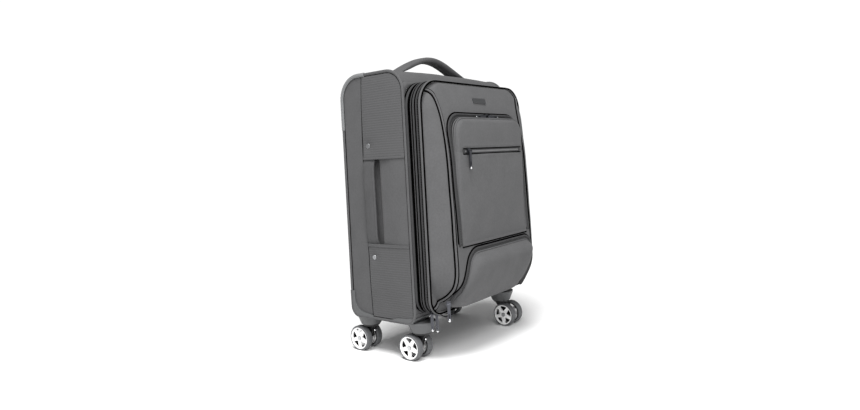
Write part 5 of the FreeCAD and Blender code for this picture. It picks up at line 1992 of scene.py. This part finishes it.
@dataclass
class HardParts:
    """Moulded and metal nodes that keep their own shape, and the small bright parts added to them."""

    corners: tuple[str, ...] = ("front_left", "front_right", "rear_left", "rear_right")
    wheel_radius: float = 25.0
    tyre: float = 3.4
    pulls: dict[str, str] = field(default_factory=lambda: {
        "main_zipper_pull_outer": "main_pull_outer",
        "main_zipper_pull_inner": "main_pull_inner",
        "lower_pocket_pull": "lower_pull",
        "upper_pocket_pull_left": "upper_pull_left",
        "upper_pocket_pull_right": "upper_pull_right",
        "welt_pull": "welt_pull_body",
    })
    screw_heights: tuple[float, float] = (40.0, 24.0)
    screw_insets: tuple[float, float] = (9.0, 10.0)

    def paint(self, node: str, finish: Finish) -> None:
        """Gives a node its finish.

        Args:
            node: The node's name.
            finish: The finish.
        """
        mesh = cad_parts[node].data
        mesh.materials.clear()
        mesh.materials.append(finish.material())

    def casters(self) -> None:
        """Housings, forks, axles, two-shot wheels and the forks' screws."""
        for corner in self.corners:
            self.paint("caster_housing_" + corner, HOUSING)
            self.paint("caster_fork_" + corner, FORK)
            self.paint("caster_axle_" + corner, AXLE_METAL)
            for side in ("left", "right"):
                node = f"wheel_{corner}_{side}"
                lo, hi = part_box(node)
                centre = ((lo.y + hi.y) / 2, (lo.z + hi.z) / 2)
                edge = self.wheel_radius - self.tyre
                face = lo.x if side == "left" else hi.x
                finish = WheelFinish("two_shot_" + node, "#f2f2f2", "#5c5d5f", centre, edge, face)
                self.paint(node, finish)
            self.screws(corner)

    def screws(self, corner: str) -> None:
        """Two bright screw heads on a fork's leading edge.

        Args:
            corner: Which caster.
        """
        lo, hi = (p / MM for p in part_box("caster_fork_" + corner))
        axle_lo, axle_hi = (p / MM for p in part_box("caster_axle_" + corner))
        axle_y = (axle_lo.y + axle_hi.y) / 2
        x = (lo.x + hi.x) / 2
        ahead = -1.0 if axle_y > (lo.y + hi.y) / 2 else 1.0
        edge_y = lo.y if ahead < 0 else hi.y
        depths = (edge_y - ahead * self.screw_insets[0], axle_y + ahead * self.screw_insets[1])
        spots = []
        for y, z in zip(depths, self.screw_heights):
            spots.append(Station(Vector((x, y, z)), Vector((1, 0, 0)), Vector((0, ahead, 0))))
        SCREW_HEAD.lay("screws_" + corner, spots, BRIGHT_METAL, "caster_" + corner, "axle_steel")

    def trolley(self) -> None:
        """The handle's tubes, grip, button, tray and foot."""
        for node in ("trolley_outer_tubes", "trolley_middle_tubes", "trolley_inner_tubes"):
            self.paint(node, TUBE_METAL)
        self.paint("trolley_grip", GRIP)
        self.paint("trolley_bezel", GRIP)
        self.paint("trolley_foot", FORK)
        self.paint("trolley_button", BUTTON)

    def metalwork(self) -> None:
        """Sliders, pulls, rivets and the blank plate."""
        for node in ("zipper_sliders", "welt_slider", *self.pulls):
            self.paint(node, PULL_METAL)
        self.paint("side_strap_rivets", RIVET_METAL)
        self.paint("badge", BADGE_METAL)

    def pull_tips(self) -> None:
        """Bright beads at the ends of the pulls."""
        for node, body in self.pulls.items():
            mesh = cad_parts[node]
            points = [mesh.matrix_world @ v.co for v in mesh.data.vertices]
            middle = sum(points, Vector()) / len(points)
            pivot = self.pin_of(points, middle)
            reach = max((p - pivot).length for p in points)
            tip = [p for p in points if (p - pivot).length > reach - 3.0 * MM]
            centre = sum(tip, Vector()) / len(tip) / MM
            spot = Station(centre, Vector((1, 0, 0)), FORWARD)
            bead = SMALL_BEAD if "upper" in node else PULL_BEAD
            bead.lay("tip_" + node, [spot], BRIGHT_METAL, body, "zipper_metal")

    @staticmethod
    def pin_of(points: Sequence[Vector], middle: Vector) -> Vector:
        """The end of a pull that holds its pin: the corner of its mesh with the most points.

        Args:
            points: The pull's mesh points.
            middle: The mean of the mesh's points.

        Returns:
            The pin's place.
        """
        along = max(points, key=lambda p: (p - middle).length) - middle
        ahead = [p for p in points if (p - middle).dot(along) > 0]
        behind = [p for p in points if (p - middle).dot(along) <= 0]
        busy = behind if len(behind) > len(ahead) else ahead
        return sum(busy, Vector()) / len(busy)

    def build(self) -> None:
        """Finishes every hard part."""
        self.casters()
        self.trolley()
        self.metalwork()
        self.pull_tips()


# ---------------------------------------------------------------- the studio
@dataclass
class Studio:
    """Pale seamless floor, a big soft key from the upper left front and an even fill."""

    position: tuple[float, float, float] = (-1.00727, -0.75589, 0.37856)
    yaw: float = 0.901192
    pitch: float = 0.077066
    roll: float = 0.052572
    lens: float = 25.476
    key: float = 3.0
    softness: float = 24.0
    fill: float = 0.26
    front_watts: float = 12.5
    lamp_size: float = 0.7
    lamp_place: tuple[float, float, float] = (-0.75, -0.8, 0.95)
    lamp_aim: tuple[float, float, float] = (0.0, 0.0, 0.35)
    backdrop: float = 1.05
    paper_white: float = 0.96
    paper_roughness: float = 0.9
    paper_reach: float = 30.0
    towards: tuple[float, float, float] = (0.45, 0.2, -1.2)

    def camera(self) -> None:
        """A level-held camera a little above the wheels, turned to the left front corner."""
        ahead = Vector((
            math.sin(self.yaw) * math.cos(self.pitch),
            math.cos(self.yaw) * math.cos(self.pitch),
            -math.sin(self.pitch),
        ))
        right = Vector((math.cos(self.yaw), -math.sin(self.yaw), 0.0))
        down = ahead.cross(right)
        turned = math.cos(self.roll) * right + math.sin(self.roll) * down
        up = math.sin(self.roll) * right - math.cos(self.roll) * down
        data = bpy.data.cameras.new("camera")
        data.lens = self.lens
        data.sensor_width = 36.0
        camera = bpy.data.objects.new("camera", data)
        bpy.context.scene.collection.objects.link(camera)
        basis = Matrix((turned, up, -ahead)).transposed().to_4x4()
        camera.matrix_world = Matrix.Translation(Vector(self.position)) @ basis
        bpy.context.scene.camera = camera

    def floor(self) -> None:
        """A wide plane under the wheels."""
        reach, white = self.paper_reach, self.paper_white
        mesh = bpy.data.meshes.new("floor")
        corners = [(-reach, -reach, 0), (reach, -reach, 0), (reach, reach, 0), (-reach, reach, 0)]
        mesh.from_pydata(corners, [], [(0, 1, 2, 3)])
        paint = bpy.data.materials.new("seamless_paper")
        paint.use_nodes = True
        shader = paint.node_tree.nodes["Principled BSDF"]
        shader.inputs["Base Color"].default_value = (white, white, white, 1.0)
        shader.inputs["Roughness"].default_value = self.paper_roughness
        mesh.materials.append(paint)
        floor = bpy.data.objects.new("floor", mesh)
        bpy.context.scene.collection.objects.link(floor)

    def sun(self) -> None:
        """One soft light from the upper left front, as even over the floor as over the suitcase."""
        data = bpy.data.lights.new("key", "SUN")
        data.energy = self.key
        data.angle = math.radians(self.softness)
        lamp = bpy.data.objects.new("key", data)
        bpy.context.scene.collection.objects.link(lamp)
        lamp.rotation_euler = Vector(self.towards).to_track_quat("-Z", "Y").to_euler()

    def front_lamp(self) -> None:
        """A soft lamp close above the left front, whose light falls off down the suitcase."""
        data = bpy.data.lights.new("front", "AREA")
        data.energy = self.front_watts
        data.size = self.lamp_size
        lamp = bpy.data.objects.new("front", data)
        bpy.context.scene.collection.objects.link(lamp)
        lamp.location = self.lamp_place
        lamp.visible_camera = False
        aim = Vector(self.lamp_aim) - lamp.location
        lamp.rotation_euler = aim.to_track_quat("-Z", "Y").to_euler()

    def world(self) -> None:
        """A white backdrop that fills the shadows with less light than it shows."""
        world = bpy.data.worlds.new("studio")
        world.use_nodes = True
        tree = world.node_tree
        seen = add_node(tree, "ShaderNodeLightPath").outputs["Is Camera Ray"]
        inputs = {0: seen, 3: self.fill, 4: self.backdrop}
        strength = add_node(tree, "ShaderNodeMapRange", inputs=inputs)
        background = tree.nodes["Background"]
        background.inputs["Color"].default_value = (1, 1, 1, 1)
        tree.links.new(strength.outputs[0], background.inputs["Strength"])
        bpy.context.scene.world = world

    def build(self) -> None:
        """Sets up camera, floor, light and backdrop."""
        self.camera()
        self.floor()
        self.sun()
        self.front_lamp()
        self.world()
        bpy.context.scene.view_settings.view_transform = "Standard"


def main() -> None:
    """Builds the sub-assemblies in the order they would be sewn and fitted."""
    logging.basicConfig(level=logging.INFO, format="%(name)s: %(message)s")
    case = CaseShell()
    case.build()
    SideStrap(case).build()
    MouthBands().build()
    lid = Lid()
    lid.build()
    UpperPocket(lid.surface).build()
    LowerPocket(lid.surface).build()
    TopHandle().build()
    HardParts().build()
    Studio().build()


if __name__ == "__main__":
    main()
